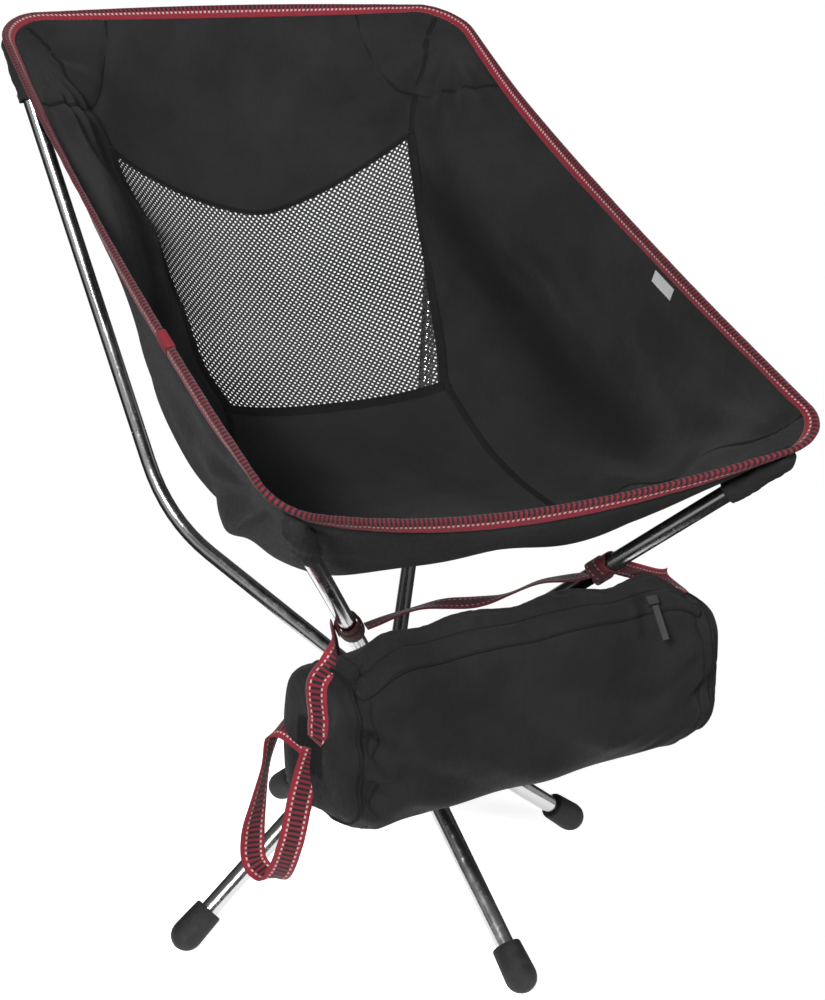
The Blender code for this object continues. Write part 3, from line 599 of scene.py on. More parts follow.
def folds(u, v):
    """Height of the cloth's folds over the smooth surface, in metres."""
    u, v = np.broadcast_arrays(np.asarray(u, float), np.asarray(v, float))
    height = np.zeros_like(u)
    for side, _ in SIDES:
        s = u * side
        # a ridge beside the window; the right panel also folds out of the back along a valley
        wander = 0.62 + 0.012 * np.sin(v * 14 + side)
        down = smooth((v - 0.14) / 0.16) * smooth((0.84 - v) / 0.14) * smooth((s - window_half(v)) / 0.07)
        if side > 0:
            height -= 0.0150 * bell(s - wander, 0.062) * down
        height += 0.0070 * bell(s - wander + 0.105, 0.050) * down
        height += 0.0150 * bell(s - 0.82, 0.15) * smooth((v - 0.38) / 0.18) * smooth((0.95 - v) / 0.14)
        height += 0.0026 * pulls(s, 0.93 - v, 15, side, 0.20, 0.17) * (v > 0.55)
        height += 0.0024 * pulls(s, v - 0.05, 12, 1.0 - side, 0.24, 0.19) * (v < 0.5)
        # the corner patches' edges pull a shallow crease in
        height -= 0.0026 * bell(near_line(s, v, PATCH_BACK), 0.018) * (s > 0)
        height -= 0.0032 * bell(near_line(s, v, PATCH_FRONT), 0.018) * (s > 0)
        # slack where the side turns up from the seat
        slack = 1.0 if side > 0 else 0.35
        low = bell(s - 0.55, 0.15) * bell(v - 0.22, 0.10)
        high = bell(s - 0.74, 0.13) * bell(v - 0.36, 0.14)
        height += 0.0028 * slack * np.sin(s * 40 + v * 26 + side) * low
        height += 0.0030 * slack * np.sin(s * 30 - v * 17 + 2 * side) * high
        # the seat sags between the front pockets
        height -= 0.0100 * bell(s - 0.38, 0.24) * bell(v - 0.145, 0.075) * (s > 0)
    # the left panel is drawn in, where the pole behind it stands clear
    height += 0.0150 * bell(u + 0.66, 0.22) * smooth((v - 0.15) / 0.10) * smooth((0.80 - v) / 0.14)
    height += 0.0014 * np.sin(u * 19 + np.sin(v * 23)) * bell(v - 0.20, 0.13)
    middle = smooth((0.62 - np.abs(u)) / 0.3)
    height += 0.0020 * np.sin(v * 34 + 3 * np.sin(u * 5 + 1)) * bell(v - 0.89, 0.07) * middle
    height *= smooth((1 - np.abs(u)) / 0.14) * smooth(np.minimum(v, 1 - v) / 0.07)
    # the front edge hangs down before it turns under
    height -= 0.0070 * smooth(v / 0.020) * smooth((0.085 - v) / 0.065) * smooth((1.02 - np.abs(u)) / 0.2)
    return height


PATCH_BACK = ((0.540, 0.985), (0.550, 0.948), (0.580, 0.910), (0.625, 0.874), (0.715, 0.850),
              (0.850, 0.830), (0.975, 0.817))
PATCH_FRONT = ((0.975, 0.055), (0.810, 0.090), (0.695, 0.155), (0.535, 0.205), (0.42, 0.225))


def near_line(s, v, line):
    """Distance in the (u, v) sheet from each place to a broken line."""
    best = np.full(np.shape(s), 9.0)
    for (s0, v0), (s1, v1) in zip(line, line[1:]):
        ds, dv = s1 - s0, (v1 - v0) * V_SCALE
        t = np.clip(((s - s0) * ds + (v - v0) * V_SCALE * dv) / (ds * ds + dv * dv), 0, 1)
        best = np.minimum(best, np.hypot(s - s0 - t * ds, (v - v0) * V_SCALE - t * dv))
    return best


ROWS_LOW, ROWS_MIDDLE, ROWS_HIGH = 84, 60, 34
COLUMNS_IN, COLUMNS_OUT = 30, 56


def sheet_uv():
    """The (u, v) net of the sling, whose lines follow the window's edges."""
    v = np.concatenate([np.linspace(0, WINDOW_LOW, ROWS_LOW, endpoint=False),
                        np.linspace(WINDOW_LOW, WINDOW_TOP, ROWS_MIDDLE, endpoint=False),
                        np.linspace(WINDOW_TOP, 1, ROWS_HIGH + 1)])
    half = window_half(v)[:, None]
    inner = half * np.linspace(0, 1, COLUMNS_IN, endpoint=False)[None]
    outer = half + (1 - half) * np.linspace(0, 1, COLUMNS_OUT + 1)[None]
    right = np.concatenate([inner, outer], axis=1)
    u = np.concatenate([-right[:, :0:-1], right], axis=1)
    v = np.broadcast_to(v[:, None], u.shape)
    return u, dipped(np.abs(u), v)


def make_sling():
    u, v = sheet_uv()
    points = sling(u, v, SHEET_INSET, folds(u, v))
    keep = np.ones((u.shape[0] - 1, u.shape[1] - 1), bool)
    keep[ROWS_LOW:ROWS_LOW + ROWS_MIDDLE, COLUMNS_OUT:COLUMNS_OUT + 2 * COLUMNS_IN] = False
    uv = np.stack([u * half_width(v), v * CENTRE_LENGTH], axis=-1)
    # painted shade: a dark band along the valley where each side panel folds out of the back, kept on the
    # sheet for the cloth's colour
    shade = np.zeros(u.shape)
    for side, _ in SIDES:
        s = u * side
        shade += 0.95 * bell(s - 0.575, 0.085) * smooth((v - 0.18) / 0.14) * smooth((0.84 - v) / 0.16)
    obj = grid("sling_sheet", points, FABRIC, keep=keep, uv=uv, painted_valley_shade=shade)
    thicken(obj, CLOTH)
    return obj


def make_mesh_panel():
    """Knitted mesh: a sheet of staggered round holes in the back window."""
    pitch_x, pitch_y, hole = 0.0054, 0.0060, 0.00122
    length = 0.30
    diamond = ((2, 0), (1, 1), (0, 2), (-1, 1), (-2, 0), (-1, -1), (0, -2), (1, -1))
    points, faces, index = [], [], {}

    def vertex(x, y):
        key = (round(x * 1e6), round(y * 1e6))
        if key not in index:
            index[key] = len(points)
            points.append((x, y))
        return index[key]

    for row in range(-2, int(length / (pitch_y / 2)) + 2):
        for column in range(-28, 29):
            cx = (column + 0.5 * (row % 2)) * pitch_x
            cy = row * pitch_y / 2
            v = WINDOW_LOW + cy / CENTRE_LENGTH
            share = abs(cx / half_width(v))
            top = WINDOW_TOP - WINDOW_DIP * max(0.0, 1 - share / WINDOW_HALF_TOP)
            if share > window_half(v) + 0.012 or v > top + 0.008 or v < WINDOW_LOW - 0.006:
                continue
            outer = [vertex(cx + dx * pitch_x / 4, cy + dy * pitch_y / 4) for dx, dy in diamond]
            inner = [vertex(cx + hole * math.cos(angle), cy + hole * 1.15 * math.sin(angle))
                     for angle in (math.pi * k / 4 for k in range(8))]
            for k in range(8):
                m = (k + 1) % 8
                faces.append((outer[k], outer[m], inner[m], inner[k]))
    flat = np.array(points)
    v = WINDOW_LOW + flat[:, 1] / CENTRE_LENGTH
    u = flat[:, 0] / half_width(v)
    world = sling(u, v, SHEET_INSET, folds(u, v) - 0.0016)
    uvs = [flat[i] for face in faces for i in face]
    obj = add_object("mesh_window", world, faces, uvs, MESH_YARN)
    thicken(obj, 0.0007)
    return obj


def rim_path(steps):
    """(u, v) places around the sheet's edge, evenly spaced in u and v."""
    t = np.linspace(0, 1, steps, endpoint=False)
    u = np.concatenate([np.ones(steps), 1 - 2 * t, -np.ones(steps), -1 + 2 * t])
    v = np.concatenate([t, np.ones(steps), 1 - t, np.zeros(steps)])
    return u, v


BAND = 0.0120            # width of the binding on each face of the cloth


def make_binding():
    """Patterned webbing folded over the rim, with a plump fold and flat sewn edges."""
    steps = 190
    u, v = rim_path(steps)
    outer = sling_flat(u, v)
    inset_u, inset_v = u * (1 - BAND / 0.33), v + (1 - 2 * v) * BAND / CENTRE_LENGTH
    inner = sling(u, v, BAND, folds(inset_u, inset_v))
    inward = unit(inner - outer)
    normal = sling_normals(u, v)
    normal = unit(normal - inward * (normal * inward).sum(-1, keepdims=True))
    profile = []
    half, fold = 0.0016, 0.0024
    for s in np.linspace(0, 1, 10):
        profile.append((BAND - (BAND - fold) * s, half + 0.0008 * smooth(s * 1.3 - 0.1)))
    for k in range(1, 10):
        angle = math.pi / 2 + math.pi * k / 10
        profile.append((fold + fold * math.cos(angle), (half + 0.0008) * math.sin(angle)))
    for s in np.linspace(0, 1, 10):
        profile.append((fold + (BAND - fold) * s, -half - 0.0008 * smooth(1.2 - s * 1.3)))
    profile = np.array(profile)
    ripple = 1 + 0.05 * np.sin(np.arange(len(u)) * 0.9) + 0.04 * np.sin(np.arange(len(u)) * 0.37)
    across = lengths_along(profile)
    across *= WEB_FOLDED / across[-1]
    along = lengths_along(np.concatenate([outer, outer[:1]]))
    # the binding's two ends overlap under a bartack on the left rim
    lap = slice(int(steps * 2.69) - 3, int(steps * 2.69) + 4)
    tack = swept(outer[lap], inward[lap], normal[lap], profile * (1.06, 1.45) - (0.0005, 0))
    register(tube("rim_bartack", tack, BARTACK), "seat")
    rings = swept(outer, inward, normal * ripple[:, None], profile)
    obj = grid("edge_webbing_band", rings, TRIM, wrap_rows=True, wrap_columns=True, uv=net_uv(along, across))
    face_out(obj)
    register(obj, "seat", "edge_binding")


def tape(width, thick):
    """Section of a flat tape that lies on the cloth."""
    edge = width / 2
    half = [(edge, -0.0004), (edge, thick * 0.6), (0.84 * edge, thick)]
    return np.array([(-x, y) for x, y in half] + half[::-1]) + (0, CLOTH / 2)


def sewn(name, u, v, profile, lift=0.0):
    """Tape or cord sewn on the sling's upper face along (u, v)."""
    middle = sling(u, v, 0.0, folds(u, v) + lift)
    normal = sling_normals(u, v)
    over = unit(np.cross(normal, unit(np.gradient(middle, axis=0))))
    register(tube(name, swept(middle, over, normal, profile), SEAM_TAPE), "seat")


register(make_sling(), "seat", "sling_fabric")
register(make_mesh_panel(), "seat", "mesh_panel")
make_binding()


# ------------------------------------------------------------ seams of the sling
BACK_SEAM = ((0.880, 0.975), (0.800, 0.937), (0.745, 0.893), (0.665, 0.855), (0.600, 0.815))
SEAMS = (("back_seam", BACK_SEAM, 50, 0.005), ("back_patch_seam", PATCH_BACK, 70, 0.003),
         ("front_patch_seam", PATCH_FRONT, 70, 0.003))


def make_seams():
    t = np.linspace(0, 1, 60)
    s = np.linspace(-1, 1, 121) * (WINDOW_HALF_TOP + 0.010)
    top = dipped(np.abs(s), np.full_like(s, WINDOW_TOP)) + 0.002
    sewn("window_top_cord", s, top, circle(10, 0.0017), 0.0006)
    s = np.linspace(-1, 1, 61) * (WINDOW_HALF_LOW + 0.01)
    sewn("window_low_tape", s, np.full_like(s, WINDOW_LOW - 0.006), tape(0.010, 0.0007))
    for side, word in SIDES:
        v = WINDOW_LOW - 0.012 + (WINDOW_TOP - WINDOW_LOW + 0.016) * t
        sewn(f"window_side_tape_{word}", side * (window_half(v) + 0.016), v, tape(0.008, 0.0007))
        v = 0.035 + (WINDOW_LOW - 0.047) * t
        u = side * (WINDOW_HALF_LOW + 0.016 + 0.10 * (1 - t) ** 1.5)
        sewn(f"seat_seam_{word}", u, v, tape(0.006, 0.0005))
        for name, line, count, width in SEAMS:
            u, v = curve_through(line, count).T
            sewn(f"{name}_{word}", side * u, v, tape(width, 0.0005))


make_seams()


# ------------------------------------------------------------ pole pockets
def mirrored(point, side):
    return Vector((point.x * side, point.y, point.z))


def sling_tree():
    u, v = np.meshgrid(np.linspace(-1, 1, 121), np.linspace(0, 1, 141))
    points = sling(u, v, 0.002).reshape(-1, 3)
    faces = [(i, i + 1, i + 122, i + 121) for r in range(140) for i in range(r * 121, r * 121 + 120)]
    return BVHTree.FromPolygons([Vector(p) for p in points], faces)


TREE = sling_tree()


def make_pocket(name, tip, aim, node):
    """A sewn fabric sleeve around the pole's end, drawn up to the sling on one side."""
    tip = tip + ORIGIN
    mouth, shoulder, nose = -0.052, -0.001, 0.0085      # along the pole, from its tip
    stations = np.concatenate([np.linspace(mouth, -0.004, 22), np.linspace(shoulder, nose, 8)])
    count = 40
    rings = []
    for s in stations:
        centre = tip + aim * s
        towards = TREE.find_nearest(centre)[0] - centre
        towards -= aim * towards.dot(aim)
        reach = max(towards.length - 0.0016, 0.004)
        towards.normalize()
        other = aim.cross(towards)
        share = (s - mouth) / (nose - mouth)
        hem = 0.0008 if s < -0.045 else 0.0
        radius = 0.0088 + hem + 0.0010 * math.sin(math.pi * min(1, share * 1.1))
        if s > shoulder:
            radius *= math.sqrt(max(0.03, 1 - ((s - shoulder) / 0.0098) ** 2))
        ring = []
        for k in range(count):
            angle = 2 * math.pi * k / count
            along, over = math.cos(angle), math.sin(angle)
            pull = max(0.0, along) ** 2
            gathers = 0.07 * math.sin(5 * angle + s * 200) + 0.035 * math.sin(11 * angle - s * 420)
            wide = radius * (1 + gathers)
            r = wide + (max(reach, radius) - wide) * pull * min(1.0, 0.60 + 0.7 * share)
            ring.append(centre + towards * along * r + other * over * wide)
        rings.append(ring)
    obj = grid(name, np.array(rings), FABRIC, wrap_columns=True, caps="end")
    face_out(obj)
    thicken(obj, 0.0009, -1.0)
    register(obj, "seat", node)


for side, word in SIDES:
    tip = mirrored(FRONT_TIP, side)
    make_pocket(f"front_pocket_cloth_{word}", tip, (tip - POLE_HUB).normalized(), f"front_pocket_{word}")
    tip = mirrored(BACK_TIP, side)
    make_pocket(f"back_pocket_cloth_{word}", tip, (tip - mirrored(BACK_BEND, side)).normalized(),
                f"back_pocket_{word}")


# ------------------------------------------------------------ carry bag
def bag_place(x, y, z):
    return BAG_CENTRE + ORIGIN + BAG_SPIN @ Vector((x, y, z))


def bag_crown(x, y, z):
    """How far the full bag's top bulges up at a place on its plain rounded box."""
    along = smooth((np.abs(x) - BAG_CROWN_FLAT) / (BAG_HALF - BAG_CROWN_FLAT))
    behind = smooth((BAG_CROWN_BACK - y) / (BAG_CROWN_BACK - BAG_CROWN_TOP))
    ahead = 1 - 0.3 * np.clip((BAG_CROWN_TOP - y) / (BAG_SIZE.y / 2 + BAG_CROWN_TOP), 0, 1)
    crest = 0.013 * bell(y + 0.010, 0.013) * (1 - 0.35 * bell(x - 0.088, 0.022))
    return (BAG_CROWN * behind * ahead + crest) * (1 - along) * np.maximum(0.0, z / (BAG_SIZE.z / 2))


def bag_section(x, inset, steps=12):
    """Rounded box section of the bag, in its own directions."""
    half_y, half_z = BAG_SIZE.y / 2 - inset, BAG_SIZE.z / 2 - inset
    corner = max(BAG_CORNER - inset, 0.004)
    ring = []
    for quarter, (sy, sz) in enumerate(((1, 1), (-1, 1), (-1, -1), (1, -1))):
        for angle in np.radians(90 * quarter + np.linspace(0, 90, steps)):
            y = sy * (half_y - corner) + corner * math.cos(angle)
            z = sz * (half_z - corner) + corner * math.sin(angle)
            ring.append((x, y, z + bag_crown(x, y, z)))
    return ring + ring[:1]


def bag_grid():
    half = BAG_HALF
    ends = [(0.0, 0.0300), (0.0, 0.0200), (0.0006, 0.0110), (0.0022, 0.0055), (0.0055, 0.0022),
            (0.0105, 0.0006)]
    stations = [(-half + x, inset) for x, inset in ends]
    stations += [(x, 0.0) for x in np.linspace(-half + 0.016, half - 0.016, 84)]
    stations += [(half - x, inset) for x, inset in reversed(ends)]
    rings = []
    for x, inset in stations:
        even = np.array(bag_section(x, inset))
        lengths = lengths_along(even)
        t = np.linspace(0, lengths[-1], 100, endpoint=False)
        rings.append(np.stack([np.interp(t, lengths, even[:, k]) for k in range(3)], axis=1))
    rings = np.array(rings)
    x, y, z = rings[..., 0], rings[..., 1], rings[..., 2]
    domed = smooth((half - np.abs(x)) / 0.02) * -1 + 1
    centre = np.clip(1 - (y / 0.046) ** 2, 0, 1) * np.clip(1 - (z / 0.060) ** 2, 0, 1)
    rings[..., 0] += np.sign(x) * 0.0085 * domed * centre ** 0.5
    full = smooth(y / 0.03) * smooth((0.045 - z) / 0.05)
    rings[..., 1] += 0.0085 * full * smooth((half - np.abs(x) + 0.02 * (x < 0)) / 0.03)
    rings[..., 0] -= 0.0100 * smooth((y + 0.02) / 0.05) * smooth((-x - 0.11) / 0.05)
    return rings


def simulate(obj, frames, pins, pressure, shrink, cap):
    """Run cloth on obj and keep the result, no vertex further than cap from its start."""
    scene = bpy.context.scene
    group = obj.vertex_groups.new(name="pins")
    for index, weight in pins.items():
        group.add([index], weight, "REPLACE")
    cloth = obj.modifiers.new("cloth", "CLOTH")
    cloth.settings.vertex_group_mass = "pins"
    cloth.settings.quality = 6
    cloth.settings.mass = 0.25
    cloth.settings.tension_stiffness = 18
    cloth.settings.compression_stiffness = 12
    cloth.settings.shear_stiffness = 6
    cloth.settings.bending_stiffness = 0.06
    cloth.settings.air_damping = 4
    cloth.settings.use_pressure = pressure != 0
    cloth.settings.uniform_pressure_force = pressure
    cloth.settings.shrink_min = shrink
    cloth.collision_settings.use_collision = False
    cloth.point_cache.frame_start = 1
    cloth.point_cache.frame_end = frames
    start = np.array([v.co for v in obj.data.vertices])
    for number in range(1, frames + 1):
        scene.frame_set(number)
    graph = bpy.context.evaluated_depsgraph_get()
    done = obj.evaluated_get(graph).to_mesh()
    end = np.array([v.co for v in done.vertices])
    obj.evaluated_get(graph).to_mesh_clear()
    obj.modifiers.remove(cloth)
    scene.frame_set(1)
    move = end - start
    far = np.linalg.norm(move, axis=1, keepdims=True)
    move *= np.minimum(1, cap / np.maximum(far, 1e-9))
    move_points(obj, start + move)


def clear_of_pole(obj, side, gap):
    """Dent the cloth where it rests against a front pole."""
    start = np.array(POLE_HUB + ORIGIN)
    aim = np.array((mirrored(FRONT_TIP, side) - POLE_HUB).normalized())
    points = np.array([v.co for v in obj.data.vertices])
    along = ((points - start) @ aim)[:, None] * aim
    off = points - start - along
    far = np.linalg.norm(off, axis=1, keepdims=True)
    move_points(obj, start + along + off * np.maximum(1, (POLE_R + gap) / np.maximum(far, 1e-9)))


def make_bag():
    rings = bag_grid()
    count, sides = rings.shape[:2]
    half = BAG_HALF
    x, y, z = rings[..., 0], rings[..., 1], rings[..., 2]
    # slack cloth: puckers from the end seams, long soft folds low on the front
    depth = BAG_SIZE.y / 2
    front = np.clip(-y / depth, 0, 1)
    end = bell(half - np.abs(x) - 0.022, 0.030)
    bulge = 0.0036 * np.sin(z * 150 + 2.2 * np.sin(x * 34) + 0.6 * np.sign(x)) * end * front
    slope = x * 0.35 + z
    bulge += 0.0033 * np.sin(slope * 105 + 1.8 * np.sin(x * 21)) * bell(z + 0.022, 0.030) * front
    bulge += 0.0026 * np.sin(x * 58 - z * 24 + 1.3 * np.sin(z * 60)) * front * bell(z - 0.01, 0.03)
    bulge += 0.0022 * np.sin(x * 74 + y * 60) * smooth(z / 0.03)
    bulge *= 1.5 * smooth((half + 0.004 - np.abs(x)) / 0.02)
    out = np.stack([np.zeros_like(x), y / depth, z / (BAG_SIZE.z / 2)], axis=-1)
    rings = rings + unit(out) * bulge[..., None]
    flat = rings.reshape(-1, 3)
    world = np.array([tuple(bag_place(*p)) for p in flat]).reshape(count, sides, 3)
    obj = tube("bag_shell", world, BAG_CLOTH)
    pins = {}
    for r in range(count):
        for c in range(sides):
            px, py, pz = flat[r * sides + c]
            weight = 0.0
            if abs(px) > half - 0.004:
                weight = 0.9
            if pz > BAG_SIZE.z / 2 - 0.004 and abs(py) < 0.012:
                weight = 0.8
            if weight:
                pins[r * sides + c] = weight
    simulate(obj, 36, pins, 0.8, -0.05, 0.008)
    finer = obj.modifiers.new("subdivision", "SUBSURF")
    finer.levels = finer.render_levels = 1
    apply_modifiers(obj)
    for side, _ in SIDES:
        clear_of_pole(obj, side, 0.0015)
    obj.data.shade_smooth()
    register(obj, "bag", "bag_body")
    return obj


def tree_of(mesh):
    return BVHTree.FromPolygons([v.co.copy() for v in mesh.vertices],
                                [tuple(p.vertices) for p in mesh.polygons])


BAG_TREE = tree_of(make_bag().data)


def on_bag(point, lift):
    """The nearest place on the bag's cloth, lifted off it."""
    near, normal, _, _ = BAG_TREE.find_nearest(point)
    return near + normal * lift, normal


def bag_cord(name, places, radius, lift):
    """Piping sewn into a seam of the bag, through places given in the bag's own directions."""
    points = [on_bag(Vector(p), lift) for p in curve_through([bag_place(*p) for p in places], 120)]
    middle = smoothed(np.array([tuple(p) for p, _ in points]), 2)
    along = unit(np.gradient(middle, axis=0))
    over = unit(np.cross(np.array([tuple(n) for _, n in points]), along))
    rings = swept(middle, over, unit(np.cross(along, over)), circle(8, radius, 0.8))
    register(tube(name, rings, SEAM_TAPE), "bag")


for side, word in SIDES:
    bag_cord(f"bag_end_cord_{word}", bag_section(side * (BAG_HALF - 0.006), 0.0015)[::2], 0.0017, 0.0004)
    bag_cord(f"bag_end_seam_{word}", bag_section(side * (BAG_HALF - 0.017), 0.0)[::2], 0.0006, 0.0003)


def bag_surface(x, degrees):
    """A place on the bag's upper front edge, round its corner by an angle."""
    angle = math.radians(degrees)
    y = -(BAG_SIZE.y / 2 - BAG_CORNER) - BAG_CORNER * math.cos(angle)
    z = BAG_SIZE.z / 2 - BAG_CORNER + BAG_CORNER * math.sin(angle)
    return (x, y, z + bag_crown(x, y, z))


# the zip's flap: a narrow strip of cloth between two lines of piping
for word, degrees in (("upper", ZIP_UPPER), ("lower", ZIP_LOWER)):
    line = [bag_surface(x, degrees) for x in np.linspace(-ZIP_HALF, ZIP_HALF, 15)]
    bag_cord(f"zip_flap_cord_{word}", line, 0.0015, 0.0007)


def make_zip_flap():
    rings = []
    for x in np.linspace(-ZIP_HALF, ZIP_HALF, 120):
        over = []
        for degrees in np.linspace(ZIP_UPPER, ZIP_LOWER, 9):
            arch = 0.0022 + 0.0007 * math.cos((degrees - 55) / 12 * math.pi / 2)
            over.append((*on_bag(bag_place(*bag_surface(x, degrees)), 0.0), arch))
        rings.append([tuple(p + n * h) for p, n, h in over]
                     + [tuple(p - n * 0.0004) for p, n, _ in reversed(over)])
    register(tube("zip_flap", rings, BAG_CLOTH), "bag", "zip_tape")


make_zip_flap()


# ------------------------------------------------------------ webbing
def ribbon(name, path, sides, width, thick, material, body, node):
    """Webbing along a path; sides gives the direction of its width at each point."""
    path, sides = np.asarray(path, float), np.asarray(sides, float)
    along = unit(np.gradient(path, axis=0))
    over = unit(sides - along * (sides * along).sum(-1, keepdims=True))
    face = [(s, 0.5 * (1 - (2 * abs(s)) ** 8 * 0.5)) for s in np.linspace(-0.5, 0.5, 9)]
    profile = np.array(face + [(s, -h) for s, h in reversed(face)])
    rings = swept(path, over, np.cross(along, over), profile * (width, thick))
    uv = net_uv(lengths_along(path), (profile[:, 0] + 0.5) * width)
    register(tube(name, rings, material, uv), body, node)


def tie_points():
    left = POLE_HUB.lerp(mirrored(FRONT_TIP, -1), TIE_LEFT) + ORIGIN
    right = POLE_HUB.lerp(FRONT_TIP, TIE_RIGHT) + ORIGIN
    return left, right


def settle(path, lift):
    """Push the points of a path that lie in the bag out onto its cloth."""
    out = []
    for p in path:
        near, normal, _, _ = BAG_TREE.find_nearest(Vector(p))
        depth = (Vector(p) - near).dot(normal)
        out.append(tuple(near + normal * lift) if depth < lift else tuple(p))
    return smoothed(np.array(out), 3)


def make_straps():
    left, right = tie_points()
    top = BAG_SIZE.z / 2 + WEB_THICK
    knot = POLE_R + 0.0042
    start, end = left + Vector((knot, -0.006, 0.0)), right + Vector((-knot - 0.0055, -0.004, -0.002))
    route = [start, bag_place(-0.078, 0.030, 0.0775), bag_place(-0.052, 0.025, 0.0790),
             bag_place(-0.027, 0.018, 0.0780), bag_place(-0.003, 0.012, 0.0810),
             bag_place(0.024, 0.006, 0.0885), bag_place(0.046, 0.001, 0.0890), end]
    path = settle(curve_through(route, 90), 0.0012)
    t = np.linspace(0, 1, 90)
    sides = np.stack([0.2 * np.sin(t * 9), -np.cos(0.5 * np.sin(t * 7)),
                      0.5 * np.sin(t * 11) * np.sin(math.pi * t)], axis=1)
    ribbon("carry_strap_web", path, sides, WEB_WIDTH * 0.6, WEB_THICK, STRAP_DARK, "bag", "carry_strap")
    for tie, (side, word) in zip((left, right), SIDES):
        reach = BAG_HALF + WEB_THICK / 2 + 0.0003
        first = tie + Vector((side * (knot + 0.0028), -0.0030, 0.0))
        over = bag_place(side * (reach - 0.012), 0.004, top + 0.004)
        route = [first, over, bag_place(side * (reach + 0.0020), 0.000, top - 0.010),
                 bag_place(side * (reach + 0.0004), -0.004, 0.032), bag_place(side * reach, -0.005, 0.004)]
        path = settle(curve_through(route, 60), 0.0011)
        # its width lies along the pole at the tie, and turns to the bag's end lower down
        aim = (mirrored(FRONT_TIP, side) - POLE_HUB).normalized() * -1
        low = BAG_SPIN @ Vector((-0.34 * side, -0.94, 0))
        across = [tuple(aim.lerp(low, float(smooth((t - 0.22) / 0.40)))) for t in np.linspace(0, 1, 60)]
        ribbon(f"end_strap_web_{word}", path, across, WEB_WIDTH, WEB_THICK, STRAP, "bag",
               f"end_strap_{word}")


make_straps()


def make_loop():
    reach = BAG_HALF + WEB_THICK * 2 + 0.0060
    route = [bag_place(*place) for place in (
        (-reach, 0.000, -0.002), (-0.180, 0.0055, -0.020), (-0.186, 0.0074, -0.044),
        (-0.194, 0.0092, -0.080), (-0.200, 0.0240, -0.1120), (-0.206, 0.0440, -0.1080),
        (-0.206, 0.0470, -0.0850), (-0.201, 0.0460, -0.0560), (-0.194, 0.0470, -0.0300),
        (-0.187, 0.0470, -0.0060), (-0.184, 0.0360, 0.0035), (-0.180, 0.0170, 0.0015),
        (-0.178, 0.0060, -0.0010))]
    path = curve_through(route, 110)
    sides = []
    for i in range(110):
        turn = math.radians(-31 + 72 * smooth((i / 109 - 0.42) / 0.35))
        level = BAG_SPIN @ Vector((math.cos(turn), math.sin(turn), 0))
        upright = BAG_SPIN @ Vector((0.75, 0.0, 0.66))
        sides.append(tuple(level.lerp(upright, float(smooth((i / 109 - 0.76) / 0.12)))))
    ribbon("grab_loop_web", path, sides, WEB_WIDTH * 0.95, WEB_THICK, STRAP, "loop", "grab_loop")


make_loop()


def make_tie(word, share, side):
    """Webbing wound round a front pole."""
    tip = mirrored(FRONT_TIP, side)
    aim = (tip - POLE_HUB).normalized()
    centre = POLE_HUB.lerp(tip, share) + ORIGIN
    first = aim.cross(Vector((0, 0, 1))).normalized()
    other = aim.cross(first)
    path, sides = [], []
    for i in range(90):
        t = i / 89
        angle = 2 * math.pi * 2.1 * t
        radius = POLE_R + 0.0012 + 0.0022 * t
        drift = 0.006 * math.sin(angle * 0.5)
        round_pole = first * math.cos(angle) + other * math.sin(angle)
        path.append(tuple(centre + aim * drift + round_pole * radius))
        sides.append(tuple(aim))
    ribbon(f"pole_tie_web_{word}", path, sides, WEB_WIDTH * 0.72, 0.0012, STRAP_DARK, "seat",
           f"pole_tie_{word}")


make_tie("left", TIE_LEFT, -1)
make_tie("right", TIE_RIGHT, 1)


# ------------------------------------------------------------ finish of the CAD pieces that stay
FINISHES = {"polished_aluminium": ALUMINIUM, "bright_steel": STEEL, "black_nylon": NYLON,
            "white_acetal": ACETAL, "dark_rubber": RUBBER, "elastic_cord": CORD, "black_fabric": FABRIC,
            "grey_mesh": MESH_YARN, "red_webbing": STRAP,
            "grey_label": cloth_material("label_satin", (0.55, 0.55, 0.56), pitch=0.0004)}


def dress_cad():
    slots = {row["node"]: row["material_slot"] for row in frame["record"]["subparts"]}
    for name, node in frame["nodes"].items():
        finish = NYLON if name in ("zip_slider", "zip_pull") else FINISHES[slots[name]]
        node.data.materials.clear()
        node.data.materials.append(finish)
        if node.hide_render:
            continue
        weld = node.modifiers.new("weld", "WELD")
        weld.merge_threshold = 0.00002
        split = node.modifiers.new("edges", "EDGE_SPLIT")
        split.split_angle = math.radians(35)
        node.data.shade_smooth()


dress_cad()


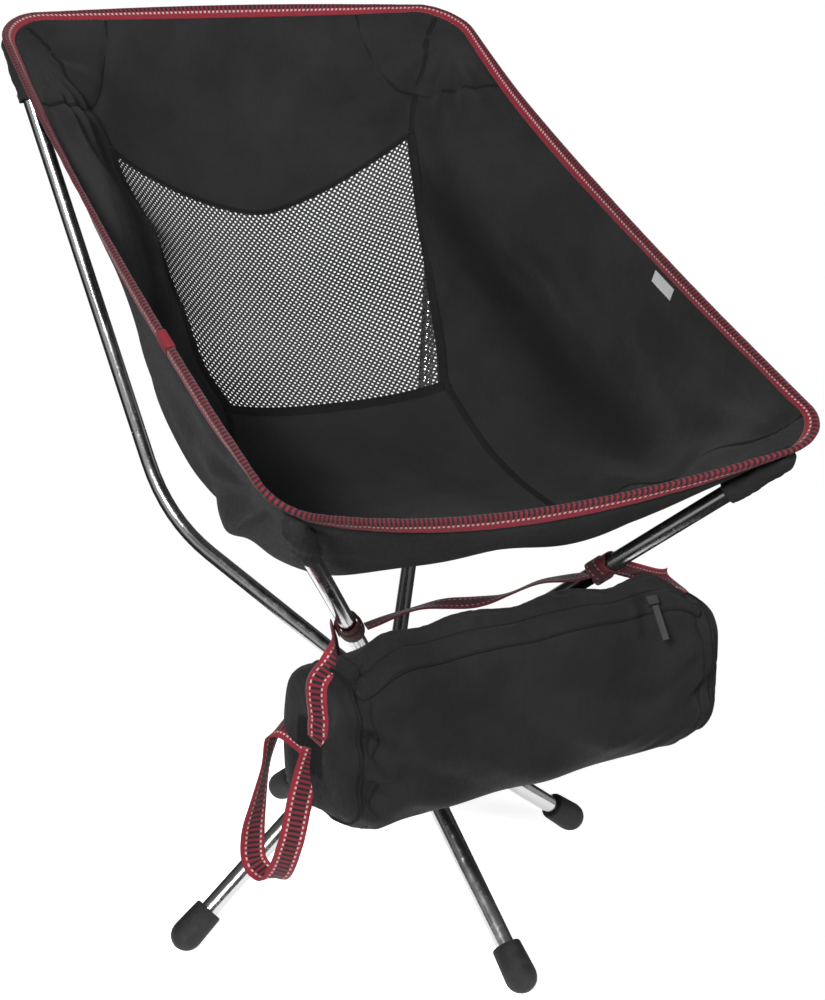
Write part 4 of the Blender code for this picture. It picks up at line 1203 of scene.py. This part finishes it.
# ------------------------------------------------------------ floor and light
def make_floor():
    mesh = bpy.data.meshes.new("floor")
    count, reach = 96, 0.34
    ring = [(reach * math.cos(2 * math.pi * k / count), reach * math.sin(2 * math.pi * k / count), 0)
            for k in range(count)]
    mesh.from_pydata(ring, [], [tuple(range(count))])
    shader = Shader("pale_floor", Base_Color=(0.93, 0.93, 0.93), Roughness=0.9, Specular_IOR_Level=0.1,
                    Emission_Color=(1, 1, 1), Emission_Strength=0.80)
    mesh.materials.append(shader.material)
    floor = bpy.data.objects.new("floor", mesh)
    bpy.context.scene.collection.objects.link(floor)


def make_world():
    """White where the camera sees it; for the tubes, bright panels in a dim room."""
    world = bpy.data.worlds.new("studio")
    bpy.context.scene.world = world
    world.use_nodes = True
    room = Nodes(world.node_tree)
    background = room.tree.nodes["Background"]
    x, y, z = room.split(room.node("ShaderNodeTexCoord"))

    def panel(dx, dy, low, high, top):
        aim = room.sum(room.times(x, dx), room.times(y, dy))
        return room.soft_ramp(aim, low, high, 0.0, top)

    overhead = room.soft_ramp(z, 0.30, 0.75, 0.0, 0.12)
    left = panel(-0.94, -0.34, 0.86, 0.96, 0.55)
    right = panel(0.97, -0.24, 0.90, 0.98, 0.5)
    rear = panel(0.30, 0.95, 0.86, 0.97, 0.4)
    dim = 0.03
    seen = room.tree.nodes.new("ShaderNodeLightPath").outputs["Is Camera Ray"]
    strength = room.node("ShaderNodeMix", {0: seen, 2: room.sum(overhead, left, right, rear, dim), 3: 1.0})
    room.feed(strength, background.inputs[1])
    room.feed((1, 1, 1), background.inputs[0])


def make_lights():
    def area(name, place, target, size, power):
        data = bpy.data.lights.new(name, "AREA")
        data.shape = "RECTANGLE"
        data.size, data.size_y = size
        data.energy = power
        obj = bpy.data.objects.new(name, data)
        obj.location = place
        obj.rotation_euler = (Vector(place) - Vector(target)).to_track_quat("Z", "Y").to_euler()
        bpy.context.scene.collection.objects.link(obj)

    area("key", (-1.7, -2.1, 1.75), (0, 0, 0.4), (0.6, 0.6), 142)
    area("top", (0.3, 0.2, 2.6), (0, 0, 0.0), (2.2, 2.2), 1)
    area("fill", (1.2, -2.2, 0.7), (0, 0, 0.4), (0.7, 0.9), 34)


make_floor()
make_world()
make_lights()
bpy.context.scene.view_settings.view_transform = "Standard"
